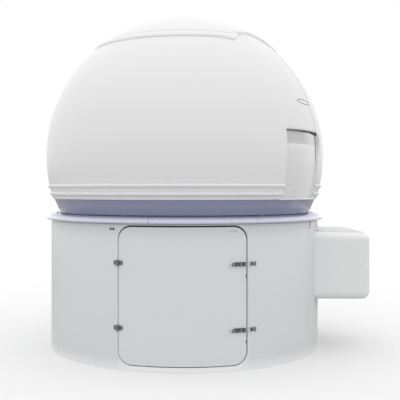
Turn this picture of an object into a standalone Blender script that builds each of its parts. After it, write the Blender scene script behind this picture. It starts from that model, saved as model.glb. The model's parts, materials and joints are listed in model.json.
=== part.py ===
"""Small observatory dome: a round moulded wall with a curved door and an accessory bay, and a turning dome
with an up-and-over shutter. Metres, +Z up, floor at Z 0. The door faces -Y and the bay faces +X."""

import math

import bmesh
import bpy
from mathutils import Matrix, Vector

# Driving dimensions, in metres and degrees
DOME_RADIUS = 1.350
BAY_REACH = 1.725
AXIS_X = (DOME_RADIUS - BAY_REACH) / 2
TOUCH = 0.0003

WALL_RADIUS = 1.301
WALL_SKIN = 0.010
WALL_HEIGHT = 1.214
WALL_STEP = 3.0

DOOR_HALF = 0.5285
DOOR_LOW = 0.056
DOOR_HIGH = 1.1915
DOOR_CORNER = 0.110
DOOR_GAP = 0.0125
HINGE_HEIGHTS = {"lower": 0.352, "upper": 0.892}
LATCH_HEIGHTS = {"lower": 0.338, "upper": 0.884}
GAP_BEARING = 24.25

BAY_HALF = 0.500
BAY_LOW = 0.489
BAY_HIGH = 1.127
BAY_FALL = 0.020
BAY_ROUND = 0.072
BAY_SKIN = 0.008
BAY_MOUTH = 69.0
BAY_MARGIN = 0.035

RING_TOP = 1.277
RING_LEDGE = 1.293
RING_TIP = 1.344
RING_LEG = 1.215
RING_STEP = 6.0
RING_START = -52.0
ROLLER_BEARINGS = (35.0, 95.0, 155.0, 215.0, 275.0, 335.0)
ROLLER_RADIUS = 0.025

SLOT_BEARING = 53.5
DOME_CENTRE_Z = 1.823
DOME_SKIN = 0.008
DOME_RIM_Z = 1.415
RIM_LEDGE_RADIUS = 1.250
DOME_STEP = 6.0
SEAM_HALF = 0.0075
RIB_HEIGHTS = (1.540, 1.465)
RIB_HALF = 0.011
RIB_PROUD = 0.015

SKIRT_LOW_Z = 1.285
SKIRT_TOP_RADIUS = 1.274
SKIRT_LOW_RADIUS = 1.216
SKIRT_SKIN = 0.012
TRACK_RADIUS = 1.140

SLOT_HALF = 0.280
SLOT_END = -0.634
SHELL_TOP_POLAR = 8.5
CROWN_SKIN = 0.005
CROWN_BAND = 0.016
CROWN_OUTER = {"radius": 0.889, "corner": 0.3625, "front": 0.743, "bend": 0.753, "join": 30.0}
CROWN_INNER = {"radius": 0.790, "corner": 0.3215, "front": 0.662, "bend": 0.594, "join": 24.0}

SHUTTER_RADIUS = 1.340
SHUTTER_SKIN = 0.006
SHUTTER_HALF = 0.272
SHUTTER_DROP = 0.008
SHUTTER_WING = 0.310
SHUTTER_LIP = 8.67
SHUTTER_TOP = 62.0
LIP_THICK = 0.30
LIP_DEEP = 0.040
LIP_SEAL_LOW = 7.70
RAIL_RADIUS = 1.3378
RAIL_DEEP = 0.026

PANEL_DEPTH = 0.0215
PANEL_HALF = 0.276
PANEL_SKIN = 0.006
PANEL_TOP_Z = 2.008
PANEL_SIDE_Z = 1.990
PANEL_FOOT_Z = 1.4153
PANEL_JOGGLE_Z = 1.900
PANEL_JOGGLE = 0.012
BAR_LOW_Z = 1.411
BAR_HIGH_Z = 1.425
BAR_HALF = 0.318
BAR_THICK = 0.008

WHITE = (0.80, 0.80, 0.81, 1.0)
LAVENDER = (0.62, 0.64, 0.76, 1.0)
SLATE = (0.27, 0.29, 0.39, 1.0)
STEEL = (0.55, 0.55, 0.56, 1.0)
BLACK = (0.03, 0.03, 0.03, 1.0)


# Scene, collections and materials


def clear_scene():
    for old in list(bpy.data.objects):
        bpy.data.objects.remove(old, do_unlink=True)


def new_collection(name):
    collection = bpy.data.collections.new(name)
    bpy.context.scene.collection.children.link(collection)
    return collection


def new_material(name, colour, roughness, metallic=0.0):
    material = bpy.data.materials.new(name)
    material.use_nodes = True
    shader = material.node_tree.nodes["Principled BSDF"]
    shader.inputs["Base Color"].default_value = colour
    shader.inputs["Roughness"].default_value = roughness
    shader.inputs["Metallic"].default_value = metallic
    return material


def new_empty(name, location=(0.0, 0.0, 0.0), turn=0.0, parent=None):
    empty = bpy.data.objects.new(name, None)
    empty.location = location
    empty.rotation_euler = (0.0, 0.0, math.radians(turn))
    empty.parent = parent
    PARTS.objects.link(empty)
    return empty


def add_object(name, shape, material, parent, location=(0.0, 0.0, 0.0), turn=0.0):
    """A node of the object. Its mesh is given in the parent's frame when it has no place of its own."""
    mesh = bpy.data.meshes.new(name)
    shape.to_mesh(mesh)
    shape.free()
    mesh.materials.append(material)
    mesh.shade_smooth()
    mesh.set_sharp_from_angle(angle=math.radians(30))
    thing = bpy.data.objects.new(name, mesh)
    thing.location = location
    thing.rotation_euler = (0.0, 0.0, math.radians(turn))
    thing.parent = parent
    PARTS.objects.link(thing)
    return thing


def add_cutter(name, shape, parent, location=(0.0, 0.0, 0.0), turn=0.0):
    mesh = bpy.data.meshes.new(name)
    shape.to_mesh(mesh)
    shape.free()
    cutter = bpy.data.objects.new(name, mesh)
    cutter.location = location
    cutter.rotation_euler = (0.0, 0.0, math.radians(turn))
    cutter.parent = parent
    cutter.hide_render = True
    cutter.display_type = "WIRE"
    CUTTERS.objects.link(cutter)
    return cutter


def boolean(thing, other, operation):
    modifier = thing.modifiers.new(f"{operation.lower()} {other.name}", "BOOLEAN")
    modifier.operation = operation
    modifier.object = other
    modifier.solver = "EXACT"


def keep_place(thing, frame):
    """Hangs a thing that is placed from the building's axis on a frame that has a place of its own."""
    thing.parent = frame
    thing.matrix_parent_inverse = frame.matrix_basis.inverted()


# Shapes


def on_wall(bearing, radius, height):
    """A point at a bearing from the door's middle (-Y), counted towards the bay (+X)."""
    turn = math.radians(bearing)
    return (radius * math.sin(turn), -radius * math.cos(turn), height)


def box(low, high):
    shape = bmesh.new()
    size = Vector(high) - Vector(low)
    middle = (Vector(high) + Vector(low)) / 2
    place = Matrix.Translation(middle) @ Matrix.Diagonal((*size, 1.0))
    bmesh.ops.create_cube(shape, size=1.0, matrix=place)
    return shape


def rod(start, end, radius, sides=20):
    shape = bmesh.new()
    start, end = Vector(start), Vector(end)
    aim = (end - start).to_track_quat("Z", "Y").to_matrix().to_4x4()
    place = Matrix.Translation((start + end) / 2) @ aim
    length = (end - start).length
    bmesh.ops.create_cone(
        shape, cap_ends=True, segments=sides, radius1=radius, radius2=radius, depth=length, matrix=place
    )
    return shape


def prism(outline, along, low, high):
    """A flat outline pushed along an axis. Its points are (x, y), (x, z) or (y, z), for z, y or x."""
    point = {
        "x": lambda a, b, depth: (depth, a, b),
        "y": lambda a, b, depth: (a, depth, b),
        "z": lambda a, b, depth: (a, b, depth),
    }[along]
    shape = bmesh.new()
    face = shape.faces.new([shape.verts.new(point(a, b, low)) for a, b in outline])
    pushed = bmesh.ops.extrude_face_region(shape, geom=[face])
    moved = [item for item in pushed["geom"] if isinstance(item, bmesh.types.BMVert)]
    bmesh.ops.translate(shape, verts=moved, vec=point(0.0, 0.0, high - low))
    bmesh.ops.recalc_face_normals(shape, faces=shape.faces[:])
    return shape


def rounded_rectangle(low, high, radius, steps=6):
    corners = [
        (high[0] - radius, high[1] - radius, 0),
        (low[0] + radius, high[1] - radius, 90),
        (low[0] + radius, low[1] + radius, 180),
        (high[0] - radius, low[1] + radius, 270),
    ]
    outline = []
    for x, y, start in corners:
        for k in range(steps + 1):
            turn = math.radians(start + 90 * k / steps)
            outline.append((x + radius * math.cos(turn), y + radius * math.sin(turn)))
    return outline


def turned_sector(profile, start, end, step, axis="z"):
    """A closed profile turned about z, from +X, or about the shutter's axis, from the front up."""
    shape = bmesh.new()
    if axis == "z":
        points = [(radius, 0.0, height) for radius, height in profile]
        spin_axis = Vector((0.0, 0.0, 1.0))
    else:
        points = [(radius, side, 0.0) for radius, side in profile]
        spin_axis = Vector((0.0, -1.0, 0.0))
    shape.faces.new([shape.verts.new(point) for point in points])
    bmesh.ops.rotate(shape, verts=shape.verts[:], matrix=Matrix.Rotation(math.radians(start), 3, spin_axis))
    bmesh.ops.spin(
        shape,
        geom=shape.verts[:] + shape.edges[:] + shape.faces[:],
        cent=(0.0, 0.0, 0.0),
        axis=spin_axis,
        angle=math.radians(end - start),
        steps=max(1, round((end - start) / step)),
        use_merge=False,
        use_duplicate=False,
    )
    bmesh.ops.recalc_face_normals(shape, faces=shape.faces[:])
    return shape


def turned_ring(name, profile, step, material, parent):
    """A whole ring or a cap: a profile that runs down its outer side, with a Screw modifier."""
    shape = bmesh.new()
    corners = [shape.verts.new((radius, 0.0, height)) for radius, height in profile]
    for first, second in zip(corners, corners[1:]):
        shape.edges.new((first, second))
    if profile[0][0] > 0.0:
        shape.edges.new((corners[-1], corners[0]))
    ring = add_object(name, shape, material, parent)
    screw = ring.modifiers.new("turn", "SCREW")
    screw.axis = "Z"
    screw.angle = 2 * math.pi
    screw.steps = round(360 / step)
    screw.render_steps = screw.steps
    screw.use_merge_vertices = True
    screw.merge_threshold = 0.0001
    return ring


def sphere_point(radius, centre_z, polar):
    turn = math.radians(polar)
    return (radius * math.sin(turn), centre_z + radius * math.cos(turn))


def sphere_radius_at(height, radius, centre_z):
    return math.sqrt(radius**2 - (height - centre_z) ** 2)


def join_to(thing, shapes, parent, location=(0.0, 0.0, 0.0), turn=0.0):
    for count, shape in enumerate(shapes):
        helper = add_cutter(f"{thing.name} joined {count}", shape, parent, location, turn)
        boolean(thing, helper, "UNION")


# The round wall


def wall_profile(low, high):
    inner = WALL_RADIUS - WALL_SKIN
    return [(inner, low), (WALL_RADIUS, low), (WALL_RADIUS, high), (inner, high)]


def wall_arc(start, end, low=0.0, high=WALL_HEIGHT):
    return turned_sector(wall_profile(low, high), start - 90, end - 90, WALL_STEP)


def build_walls():
    opening_half = DOOR_HALF + DOOR_GAP
    opening = rounded_rectangle(
        (-opening_half, DOOR_LOW - DOOR_GAP), (opening_half, DOOR_HIGH + DOOR_GAP), DOOR_CORNER + DOOR_GAP
    )
    doorway = add_cutter("doorway", prism(opening, "y", -1.5, -1.0), BUILDING)
    jamb_side = math.degrees(math.asin(opening_half / WALL_RADIUS))
    beside = jamb_side + 3.0
    seam = SEAM_HALF

    split = opening_half + TOUCH / 2
    across = add_cutter("between the jambs", box((-split, -1.5, -0.1), (split, -1.0, 1.5)), BUILDING)
    left = add_object("wall_front_left", wall_arc(-60 + seam, -jamb_side + 1.5), GELCOAT, BUILDING)
    right = add_object("wall_front_right", wall_arc(jamb_side - 1.5, 60 - seam), GELCOAT, BUILDING)
    boolean(left, across, "DIFFERENCE")
    boolean(right, across, "DIFFERENCE")

    inside = opening_half - TOUCH / 2
    between = {
        "door_sill": (0.0, DOOR_LOW - DOOR_GAP + DOOR_CORNER + DOOR_GAP),
        "door_head": (DOOR_HIGH + DOOR_GAP - DOOR_CORNER - DOOR_GAP, WALL_HEIGHT),
    }
    kept = add_cutter("inside the jambs", box((-inside, -1.5, -0.1), (inside, -1.0, 1.5)), BUILDING)
    for name, (low, high) in between.items():
        strip = add_object(name, wall_arc(-beside, beside, low, high), GELCOAT, BUILDING)
        boolean(strip, kept, "INTERSECT")
        boolean(strip, doorway, "DIFFERENCE")

    edge = BAY_MOUTH
    low, high = BAY_LOW + BAY_MARGIN, BAY_HIGH - BAY_MARGIN
    plain = {
        "wall_bay_front": (60, edge, 0.0, WALL_HEIGHT),
        "wall_below_bay": (edge, 180 - edge, 0.0, low),
        "wall_above_bay": (edge, 180 - edge, high, WALL_HEIGHT),
        "wall_bay_rear": (180 - edge, 120, 0.0, WALL_HEIGHT),
        "wall_rear_right": (120, 180, 0.0, WALL_HEIGHT),
        "wall_left": (180, 300, 0.0, WALL_HEIGHT),
    }
    for name, (start, end, low, high) in plain.items():
        add_object(name, wall_arc(start + seam, end - seam, low, high), GELCOAT, BUILDING)


def build_bay():
    """A moulded box with round edges, open towards the wall, which its rim meets all round."""
    inner_end = 1.0
    shape = box((inner_end, -BAY_HALF, BAY_LOW), (BAY_REACH, BAY_HALF, BAY_HIGH))
    for corner in shape.verts:
        if corner.co.x > inner_end and corner.co.z > BAY_LOW:
            corner.co.z -= BAY_FALL
    bay = add_object("accessory_bay", shape, GELCOAT, BUILDING)
    rounding = bay.modifiers.new("round edges", "BEVEL")
    rounding.width = BAY_ROUND
    rounding.segments = 4
    rounding.limit_method = "ANGLE"

    low, high = BAY_LOW + BAY_SKIN, BAY_HIGH - BAY_SKIN
    hollow_shape = box((0.5, -BAY_HALF + BAY_SKIN, low), (BAY_REACH - BAY_SKIN, BAY_HALF - BAY_SKIN, high))
    for corner in hollow_shape.verts:
        if corner.co.x > inner_end and corner.co.z > low:
            corner.co.z -= BAY_FALL
    hollow = add_cutter("bay hollow", hollow_shape, BUILDING)
    hollow_round = hollow.modifiers.new("round edges", "BEVEL")
    hollow_round.width = BAY_ROUND - BAY_SKIN
    hollow_round.segments = 4
    hollow_round.limit_method = "ANGLE"
    boolean(bay, hollow, "DIFFERENCE")
    drum = rod((0, 0, 0), (0, 0, 1.6), WALL_RADIUS + TOUCH, sides=120)
    boolean(bay, add_cutter("wall drum", drum, BUILDING, turn=-90.0), "DIFFERENCE")


def build_top_ring():
    """The capping ring on the wall, in three lengths: a drip edge, a ledge, and a leg for the rollers."""
    foot = WALL_HEIGHT + TOUCH
    profile = [
        (RING_LEDGE, RING_TOP),
        (RING_TIP, 1.235),
        (RING_TIP, 1.229),
        (WALL_RADIUS, foot),
        (1.289, foot),
        (1.289, 1.254),
        (1.280, 1.265),
        (RING_LEG + 0.008, 1.265),
        (RING_LEG + 0.008, 1.205),
        (RING_LEG, 1.205),
        (RING_LEG, RING_TOP),
    ]
    for count in range(3):
        start = RING_START - 90 + 120 * count
        shape = turned_sector(profile, start + SEAM_HALF, start + 120 - SEAM_HALF, RING_STEP)
        add_object(f"top_ring_{count + 1}", shape, RING_PAINT, BUILDING)


def build_rollers():
    """Wheels that carry the dome's track, each on a block bolted to the ring's leg."""
    face = RING_LEG * math.cos(math.radians(RING_STEP / 2)) - TOUCH
    wheel_z = SKIRT_LOW_Z - TOUCH - ROLLER_RADIUS
    wheel_out = 1.183
    for count, bearing in enumerate(ROLLER_BEARINGS, 1):
        block = box((-0.030, -face, 1.212), (0.030, -face + 0.018, 1.270))
        roller = add_object(f"roller_{count}", block, STEEL_FINISH, BUILDING, turn=bearing)
        axle = rod((0, -face + 0.009, wheel_z), (0, -wheel_out + 0.012, wheel_z), 0.007)
        wheel = rod((0, -wheel_out, wheel_z), (0, -wheel_out + 0.022, wheel_z), ROLLER_RADIUS, sides=24)
        join_to(roller, [axle, wheel], BUILDING, turn=bearing)


# The door, its hinges and its latches


def build_door():
    outline = rounded_rectangle((-DOOR_HALF, DOOR_LOW), (DOOR_HALF, DOOR_HIGH), DOOR_CORNER)
    reach = math.degrees(math.asin(DOOR_HALF / WALL_RADIUS)) + 3.0
    door = add_object("door", wall_arc(-reach, reach, DOOR_LOW - 0.01, DOOR_HIGH + 0.01), GELCOAT, BUILDING)
    keep_place(door, DOOR_HINGE)
    stamp = add_cutter("door outline", prism(outline, "y", -1.5, -1.0), BUILDING)
    boolean(door, stamp, "INTERSECT")


def build_hinge(level, height):
    """A butt hinge outside the wall. Local +X runs along the wall, -Y points out, and the pin is along Z."""
    place = on_wall(-GAP_BEARING, WALL_RADIUS, height)
    turn = -GAP_BEARING
    pin_out, knuckle, pin, half = 0.016, 0.008, 0.004, 0.027
    centre_half = 0.0090
    leaf = 0.0215

    def leaf_plate(side):
        outline = [(0.010 * side, -leaf), (0.038 * side, -leaf * 0.78), (0.044 * side, -leaf * 0.5)]
        outline += [(0.044 * side, leaf * 0.5), (0.038 * side, leaf * 0.78), (0.010 * side, leaf)]
        return prism(outline, "y", -0.0036, -0.0006)

    wall_leaf = add_object(f"{level}_hinge_wall_leaf", leaf_plate(-1), STEEL_FINISH, BUILDING, place, turn)
    pieces = [rod((0, -pin_out, -half), (0, -pin_out, half), pin)]
    for low, high in ((-half, -centre_half - 0.0005), (centre_half + 0.0005, half)):
        pieces.append(rod((0, -pin_out, low), (0, -pin_out, high), knuckle))
        low, high = max(low, -leaf), min(high, leaf)
        pieces.append(box((-0.014, -pin_out, low + 0.0005), (-0.004, -0.0020, high - 0.0005)))
    join_to(wall_leaf, pieces, BUILDING, place, turn)

    door_leaf = add_object(f"{level}_hinge_door_leaf", leaf_plate(1), STEEL_FINISH, BUILDING, place, turn)
    keep_place(door_leaf, DOOR_HINGE)
    centre = [
        rod((0, -pin_out, -centre_half), (0, -pin_out, centre_half), knuckle),
        box((0.004, -pin_out, -centre_half + 0.0005), (0.014, -0.0020, centre_half - 0.0005)),
    ]
    join_to(door_leaf, centre, BUILDING, place, turn)
    bore = rod((0, -pin_out, -half), (0, -pin_out, half), pin + 0.0005)
    boolean(door_leaf, add_cutter(f"{level} hinge bore", bore, BUILDING, place, turn), "DIFFERENCE")


LATCH_BEARING = GAP_BEARING - 2.9
KEEPER_BEARING = GAP_BEARING + 2.6
LATCH_PIVOT = (0.040, -0.016)


def build_latch(level, height):
    """A toggle latch: a base with two ears on the door, a lever on its pin, a wire loop, and a keeper."""
    place = on_wall(LATCH_BEARING, WALL_RADIUS, height)
    pivot_x, pivot_y = LATCH_PIVOT
    plate = prism(rounded_rectangle((-0.055, -0.018), (0.050, 0.018), 0.006, 3), "y", -0.0036, -0.0006)
    base = add_object(f"{level}_latch_base", plate, STEEL_FINISH, BUILDING, place, LATCH_BEARING)
    keep_place(base, DOOR_HINGE)
    ears = [
        box((0.031, -0.022, side - 0.002), (0.048, -0.002, side + 0.002)) for side in (-0.0145, 0.0145)
    ]
    pin = rod((pivot_x, pivot_y, -0.0155), (pivot_x, pivot_y, 0.0155), 0.003)
    join_to(base, ears + [pin], BUILDING, place, LATCH_BEARING)

    arm_outline = [(0.036, -0.0145), (-0.050, -0.0145), (-0.082, -0.024)]
    arm_outline += [(-0.083, -0.028), (-0.051, -0.0185), (0.036, -0.0185)]
    arm = prism(arm_outline, "z", -0.0115, 0.0115)
    lever = add_object(f"{level}_latch_lever", arm, STEEL_FINISH, BUILDING, place, LATCH_BEARING)
    keep_place(lever, LEVER_PINS[level])
    barrel = rod((pivot_x, pivot_y, -0.0115), (pivot_x, pivot_y, 0.0115), 0.0065)
    join_to(lever, [barrel], BUILDING, place, LATCH_BEARING)
    bore = rod((pivot_x, pivot_y, -0.02), (pivot_x, pivot_y, 0.02), 0.0035)
    boolean(lever, add_cutter(f"{level} lever bore", bore, BUILDING, place, LATCH_BEARING), "DIFFERENCE")

    wire = 0.002
    start, bend, end, side = 0.0484, 0.112, 0.120, 0.0145
    drop = (-0.012, -0.005)
    corners = [(start, drop[0], side), (bend, drop[1], side), (end, drop[1], side - 0.006)]
    corners += [(x, y, -z) for x, y, z in reversed(corners)]
    runs = [rod(a, b, wire, sides=10) for a, b in zip(corners, corners[1:])]
    bail = add_object(f"{level}_latch_loop", runs[0], STEEL_FINISH, BUILDING, place, LATCH_BEARING)
    keep_place(bail, DOOR_HINGE)
    joints = []
    for x, y, z in corners[1:-1]:
        knob = bmesh.new()
        spot = Matrix.Translation((x, y, z))
        bmesh.ops.create_icosphere(knob, subdivisions=2, radius=wire * 1.02, matrix=spot)
        joints.append(knob)
    join_to(bail, runs[1:] + joints, BUILDING, place, LATCH_BEARING)

    spot = on_wall(KEEPER_BEARING, WALL_RADIUS, height)
    bow_tie = [(-0.026, -0.020), (0.0, -0.015), (0.028, -0.021)]
    bow_tie += [(x, -z) for x, z in reversed(bow_tie)]
    keeper_plate = prism(bow_tie, "y", -0.0036, -0.0006)
    keeper = add_object(f"{level}_latch_keeper", keeper_plate, STEEL_FINISH, BUILDING, spot, KEEPER_BEARING)
    post = [(-0.014, -0.002), (-0.016, -0.0150), (-0.012, -0.0155), (-0.006, -0.002)]
    join_to(keeper, [prism(post, "z", -0.009, 0.009)], BUILDING, spot, KEEPER_BEARING)


# The turning dome


def dome_outer_profile(first_polar):
    """The sphere from a polar angle down to the rim, with the two bead ribs."""
    rim_polar = math.degrees(math.acos((DOME_RIM_Z - DOME_CENTRE_Z) / DOME_RADIUS))
    points = [sphere_point(DOME_RADIUS, DOME_CENTRE_Z, first_polar)]
    polar = math.floor(first_polar / DOME_STEP + 1) * DOME_STEP
    while polar < rim_polar - 1:
        point = sphere_point(DOME_RADIUS, DOME_CENTRE_Z, polar)
        if all(abs(point[1] - height) > RIB_HALF * 1.6 for height in RIB_HEIGHTS):
            points.append(point)
        polar += DOME_STEP
    for height in RIB_HEIGHTS:
        for offset, proud in ((RIB_HALF, 0), (0.45 * RIB_HALF, 1), (-0.45 * RIB_HALF, 1), (-RIB_HALF, 0)):
            level = height + offset
            radius = sphere_radius_at(level, DOME_RADIUS, DOME_CENTRE_Z) + proud * RIB_PROUD
            points.append((radius, level))
    points.append(sphere_point(DOME_RADIUS, DOME_CENTRE_Z, rim_polar))
    return sorted(points, key=lambda point: -point[1])


def dome_inner_profile(first_polar, last_z):
    inner = DOME_RADIUS - DOME_SKIN
    last_polar = math.degrees(math.acos((last_z - DOME_CENTRE_Z) / inner))
    points = [sphere_point(inner, DOME_CENTRE_Z, first_polar)]
    polar = math.floor(first_polar / DOME_STEP + 1) * DOME_STEP
    while polar < last_polar - 1:
        points.append(sphere_point(inner, DOME_CENTRE_Z, polar))
        polar += DOME_STEP
    points.append(sphere_point(inner, DOME_CENTRE_Z, last_polar))
    return points


def build_dome_shell():
    slot = add_cutter("slot", box((SLOT_END, -SLOT_HALF, 1.2), (1.6, SLOT_HALF, 3.4)), DOME)
    shelf_z = DOME_RIM_Z + DOME_SKIN
    profile = dome_outer_profile(SHELL_TOP_POLAR)
    profile += [(RIM_LEDGE_RADIUS, DOME_RIM_Z), (RIM_LEDGE_RADIUS, shelf_z)]
    profile += list(reversed(dome_inner_profile(SHELL_TOP_POLAR, shelf_z)))
    quarters = {
        "dome_front_near": (-90, 0),
        "dome_rear_near": (-180, -90),
        "dome_rear_far": (90, 180),
        "dome_front_far": (0, 90),
    }
    for name, (start, end) in quarters.items():
        shape = turned_sector(profile, start + SEAM_HALF, end - SEAM_HALF, DOME_STEP)
        quarter = add_object(name, shape, GELCOAT, DOME)
        boolean(quarter, slot, "DIFFERENCE")


def crown_outline(radius, corner, front, bend, join, steps=8):
    """Plan of the crown: a circle whose front is a hollow curve between two horns beside the slot."""
    outline = []
    span = 360 - 2 * join
    count = round(span / DOME_STEP)
    for k in range(count + 1):
        turn = math.radians(join + span * k / count)
        outline.append((radius * math.cos(turn), radius * math.sin(turn)))
    for k in range(2 * steps + 1):
        side = -corner + corner * k / steps
        outline.append((front + bend * side**2, side))
    return outline


def sphere_cap(inner, outer, stations):
    """A cap's profile from its pole out, for the Screw modifier: down its outer side and back under it."""
    upper = [sphere_point(outer, DOME_CENTRE_Z, polar) for polar in stations]
    lower = [sphere_point(inner, DOME_CENTRE_Z, polar) for polar in stations]
    return upper + list(reversed(lower))


def build_crown():
    """The cap over the top of the slot, with a raised band round it. The shutter runs back under it."""
    stations = [DOME_STEP * k for k in range(9)]
    seat = DOME_RADIUS + TOUCH
    cap = sphere_cap(seat, seat + CROWN_BAND, stations)
    crown = turned_ring("dome_crown", cap, DOME_STEP, GELCOAT, DOME)
    keep = add_cutter("crown outline", prism(crown_outline(**CROWN_OUTER), "z", 2.0, 3.4), DOME)
    boolean(crown, keep, "INTERSECT")
    room = sphere_cap(seat + CROWN_SKIN, seat + 0.1, stations)
    recess = turned_ring("crown recess", room, DOME_STEP, GELCOAT, DOME)
    PARTS.objects.unlink(recess)
    CUTTERS.objects.link(recess)
    recess.hide_render = True
    recess.display_type = "WIRE"
    hole = add_cutter("crown inner outline", prism(crown_outline(**CROWN_INNER), "z", 1.9, 3.5), DOME)
    boolean(recess, hole, "INTERSECT")
    boolean(crown, recess, "DIFFERENCE")


def build_skirt():
    """The painted ring under the rim, which tapers in to the track that runs on the rollers."""
    top = DOME_RIM_Z - TOUCH
    profile = [
        (SKIRT_TOP_RADIUS, top),
        (SKIRT_LOW_RADIUS, SKIRT_LOW_Z),
        (TRACK_RADIUS, SKIRT_LOW_Z),
        (TRACK_RADIUS, SKIRT_LOW_Z + 0.008),
        (SKIRT_LOW_RADIUS - SKIRT_SKIN + 0.003, SKIRT_LOW_Z + 0.008),
        (SKIRT_TOP_RADIUS - SKIRT_SKIN, top),
    ]
    turned_ring("dome_skirt", profile, DOME_STEP, SKIRT_PAINT, DOME)


def panel_profile(inset, foot, top):
    """The front panel's face: set in from the dome's surface, and stepped in again under the lip."""
    radius = DOME_RADIUS - PANEL_DEPTH - inset

    def at(height, extra=0.0):
        return (sphere_radius_at(height, radius, DOME_CENTRE_Z) - extra, height)

    steps = 6
    rise = (PANEL_JOGGLE_Z - foot) / steps
    face = [at(foot + rise * k) for k in range(steps + 1)]
    return face + [at(PANEL_JOGGLE_Z + 0.004, PANEL_JOGGLE), at(top, PANEL_JOGGLE)]


def slot_band(name, inner, outer, low, high):
    """A band that follows the dome across the slot, as a cutter or a helper."""
    profile = [(inner, high), (inner, low), (outer, low), (outer, high)]
    return add_cutter(name, turned_sector(profile, -18, 18, DOME_STEP), DOME)


def build_front_panel():
    """A tray that closes the foot of the slot: a sunk face, two side walls, and a bar over the rim."""
    foot, top = PANEL_FOOT_Z, PANEL_TOP_Z
    back = panel_profile(PANEL_SKIN, foot, top)
    face_top = panel_profile(0.0, foot, top)[-1][0] + 0.001
    outer = [(face_top, top), (face_top, PANEL_SIDE_Z)]
    for k in range(9):
        height = PANEL_SIDE_Z - (PANEL_SIDE_Z - foot) * k / 8
        outer.append((sphere_radius_at(height, DOME_RADIUS - 0.002, DOME_CENTRE_Z), height))
    panel = add_object("front_panel", turned_sector(back + outer, -18, 18, DOME_STEP), GELCOAT, DOME)
    body = add_cutter("panel width", box((1.0, -PANEL_HALF, 1.3), (1.6, PANEL_HALF, 2.2)), DOME)
    boolean(panel, body, "INTERSECT")

    dish_foot = foot + 0.008
    dish = panel_profile(0.0, dish_foot, top + 0.05)
    dish += [(1.5, top + 0.05), (1.5, dish_foot)]
    dish_cutter = add_cutter("panel dish", turned_sector(dish, -18, 18, DOME_STEP), DOME)
    floor = PANEL_HALF - PANEL_SKIN
    width = add_cutter("dish width", box((1.0, -floor, 1.3), (1.6, floor, 2.2)), DOME)
    boolean(dish_cutter, width, "INTERSECT")
    boolean(panel, dish_cutter, "DIFFERENCE")

    bar_in = sphere_radius_at(BAR_HIGH_Z, DOME_RADIUS, DOME_CENTRE_Z) + TOUCH
    bar = slot_band("panel bar", bar_in, bar_in + BAR_THICK, BAR_LOW_Z, BAR_HIGH_Z)
    bar_width = add_cutter("bar width", box((1.0, -BAR_HALF, 1.3), (1.6, BAR_HALF, 2.2)), DOME)
    boolean(bar, bar_width, "INTERSECT")
    boolean(panel, bar, "UNION")
    tongue = slot_band("panel tongue", 1.262, bar_in + BAR_THICK / 2, foot, dish_foot)
    boolean(tongue, body, "INTERSECT")
    boolean(panel, tongue, "UNION")


# The shutter


def chord(radius, side):
    """Distance from the shutter's axis of a point on a sphere that lies to one side of the strip's middle."""
    return math.sqrt(radius**2 - side**2)


def across_profile(outer, inner, half, steps=8):
    """A strip of sphere seen along its length: (distance from the axis, side) all round."""
    sides = [-half + half * k / (steps / 2) for k in range(steps + 1)]
    profile = [(chord(outer, side), side) for side in sides]
    return profile + [(chord(inner, side), side) for side in reversed(sides)]


def hat_profile(steps=8):
    """The strip with a lowered wing along each side, which runs between the rails inside the shell."""
    half, wing = SHUTTER_HALF, SHUTTER_WING
    top, low = SHUTTER_RADIUS, SHUTTER_RADIUS - SHUTTER_DROP
    sides = [-half + half * k / (steps / 2) for k in range(steps + 1)]
    profile = [(chord(low, wing), -wing), (chord(low, half), -half)]
    profile += [(chord(top, side), side) for side in sides]
    profile += [(chord(low, half), half), (chord(low, wing), wing)]
    under = half - SHUTTER_SKIN
    sides = [under - under * k / (steps / 2) for k in range(steps + 1)]
    inner = low - SHUTTER_SKIN
    profile += [(chord(inner, wing), wing), (chord(inner, under), under)]
    profile += [(chord(top - SHUTTER_SKIN, side), side) for side in sides]
    profile += [(chord(inner, under), -under), (chord(inner, wing), -wing)]
    return profile


def build_shutter():
    """A curved strip in the slot, with a lip turned in at its foot and a rubber seal under the lip."""
    shape = turned_sector(hat_profile(), SHUTTER_LIP, SHUTTER_TOP, DOME_STEP, axis="y")
    strip = add_object("shutter", shape, GELCOAT, SHUTTER)
    lip = turned_sector(
        across_profile(SHUTTER_RADIUS + 0.002, SHUTTER_RADIUS - LIP_DEEP, SHUTTER_HALF - 0.001),
        SHUTTER_LIP - 0.001,
        SHUTTER_LIP + LIP_THICK,
        DOME_STEP,
        axis="y",
    )
    join_to(strip, [lip], SHUTTER)
    seal = turned_sector(
        across_profile(SHUTTER_RADIUS - 0.004, SHUTTER_RADIUS - 0.018, SHUTTER_HALF - 0.002),
        LIP_SEAL_LOW,
        SHUTTER_LIP - math.degrees(2 * TOUCH / SHUTTER_RADIUS),
        DOME_STEP,
        axis="y",
    )
    add_object("shutter_seal", seal, RUBBER, SHUTTER)


def build_shutter_rails():
    near_side, far_side = SHUTTER_WING + 0.0006, SHUTTER_WING + 0.0156
    outer = chord(RAIL_RADIUS, far_side)
    for name, sign in (("shutter_rail_near", -1), ("shutter_rail_far", 1)):
        sides = sorted((sign * near_side, sign * far_side))
        inner = outer - RAIL_DEEP
        profile = [(outer, sides[0]), (outer, sides[1]), (inner, sides[1]), (inner, sides[0])]
        shape = turned_sector(profile, 2.0, 112.0, DOME_STEP, axis="y")
        add_object(name, shape, STEEL_FINISH, DOME, (0.0, 0.0, DOME_CENTRE_Z))


clear_scene()
PARTS = new_collection("observatory dome")
CUTTERS = new_collection("cutters")
GELCOAT = new_material("white gelcoat", WHITE, 0.32)
RING_PAINT = new_material("pale ring paint", LAVENDER, 0.25)
SKIRT_PAINT = new_material("slate skirt paint", SLATE, 0.35)
STEEL_FINISH = new_material("stainless steel", STEEL, 0.30, 1.0)
RUBBER = new_material("black rubber", BLACK, 0.70)

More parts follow.
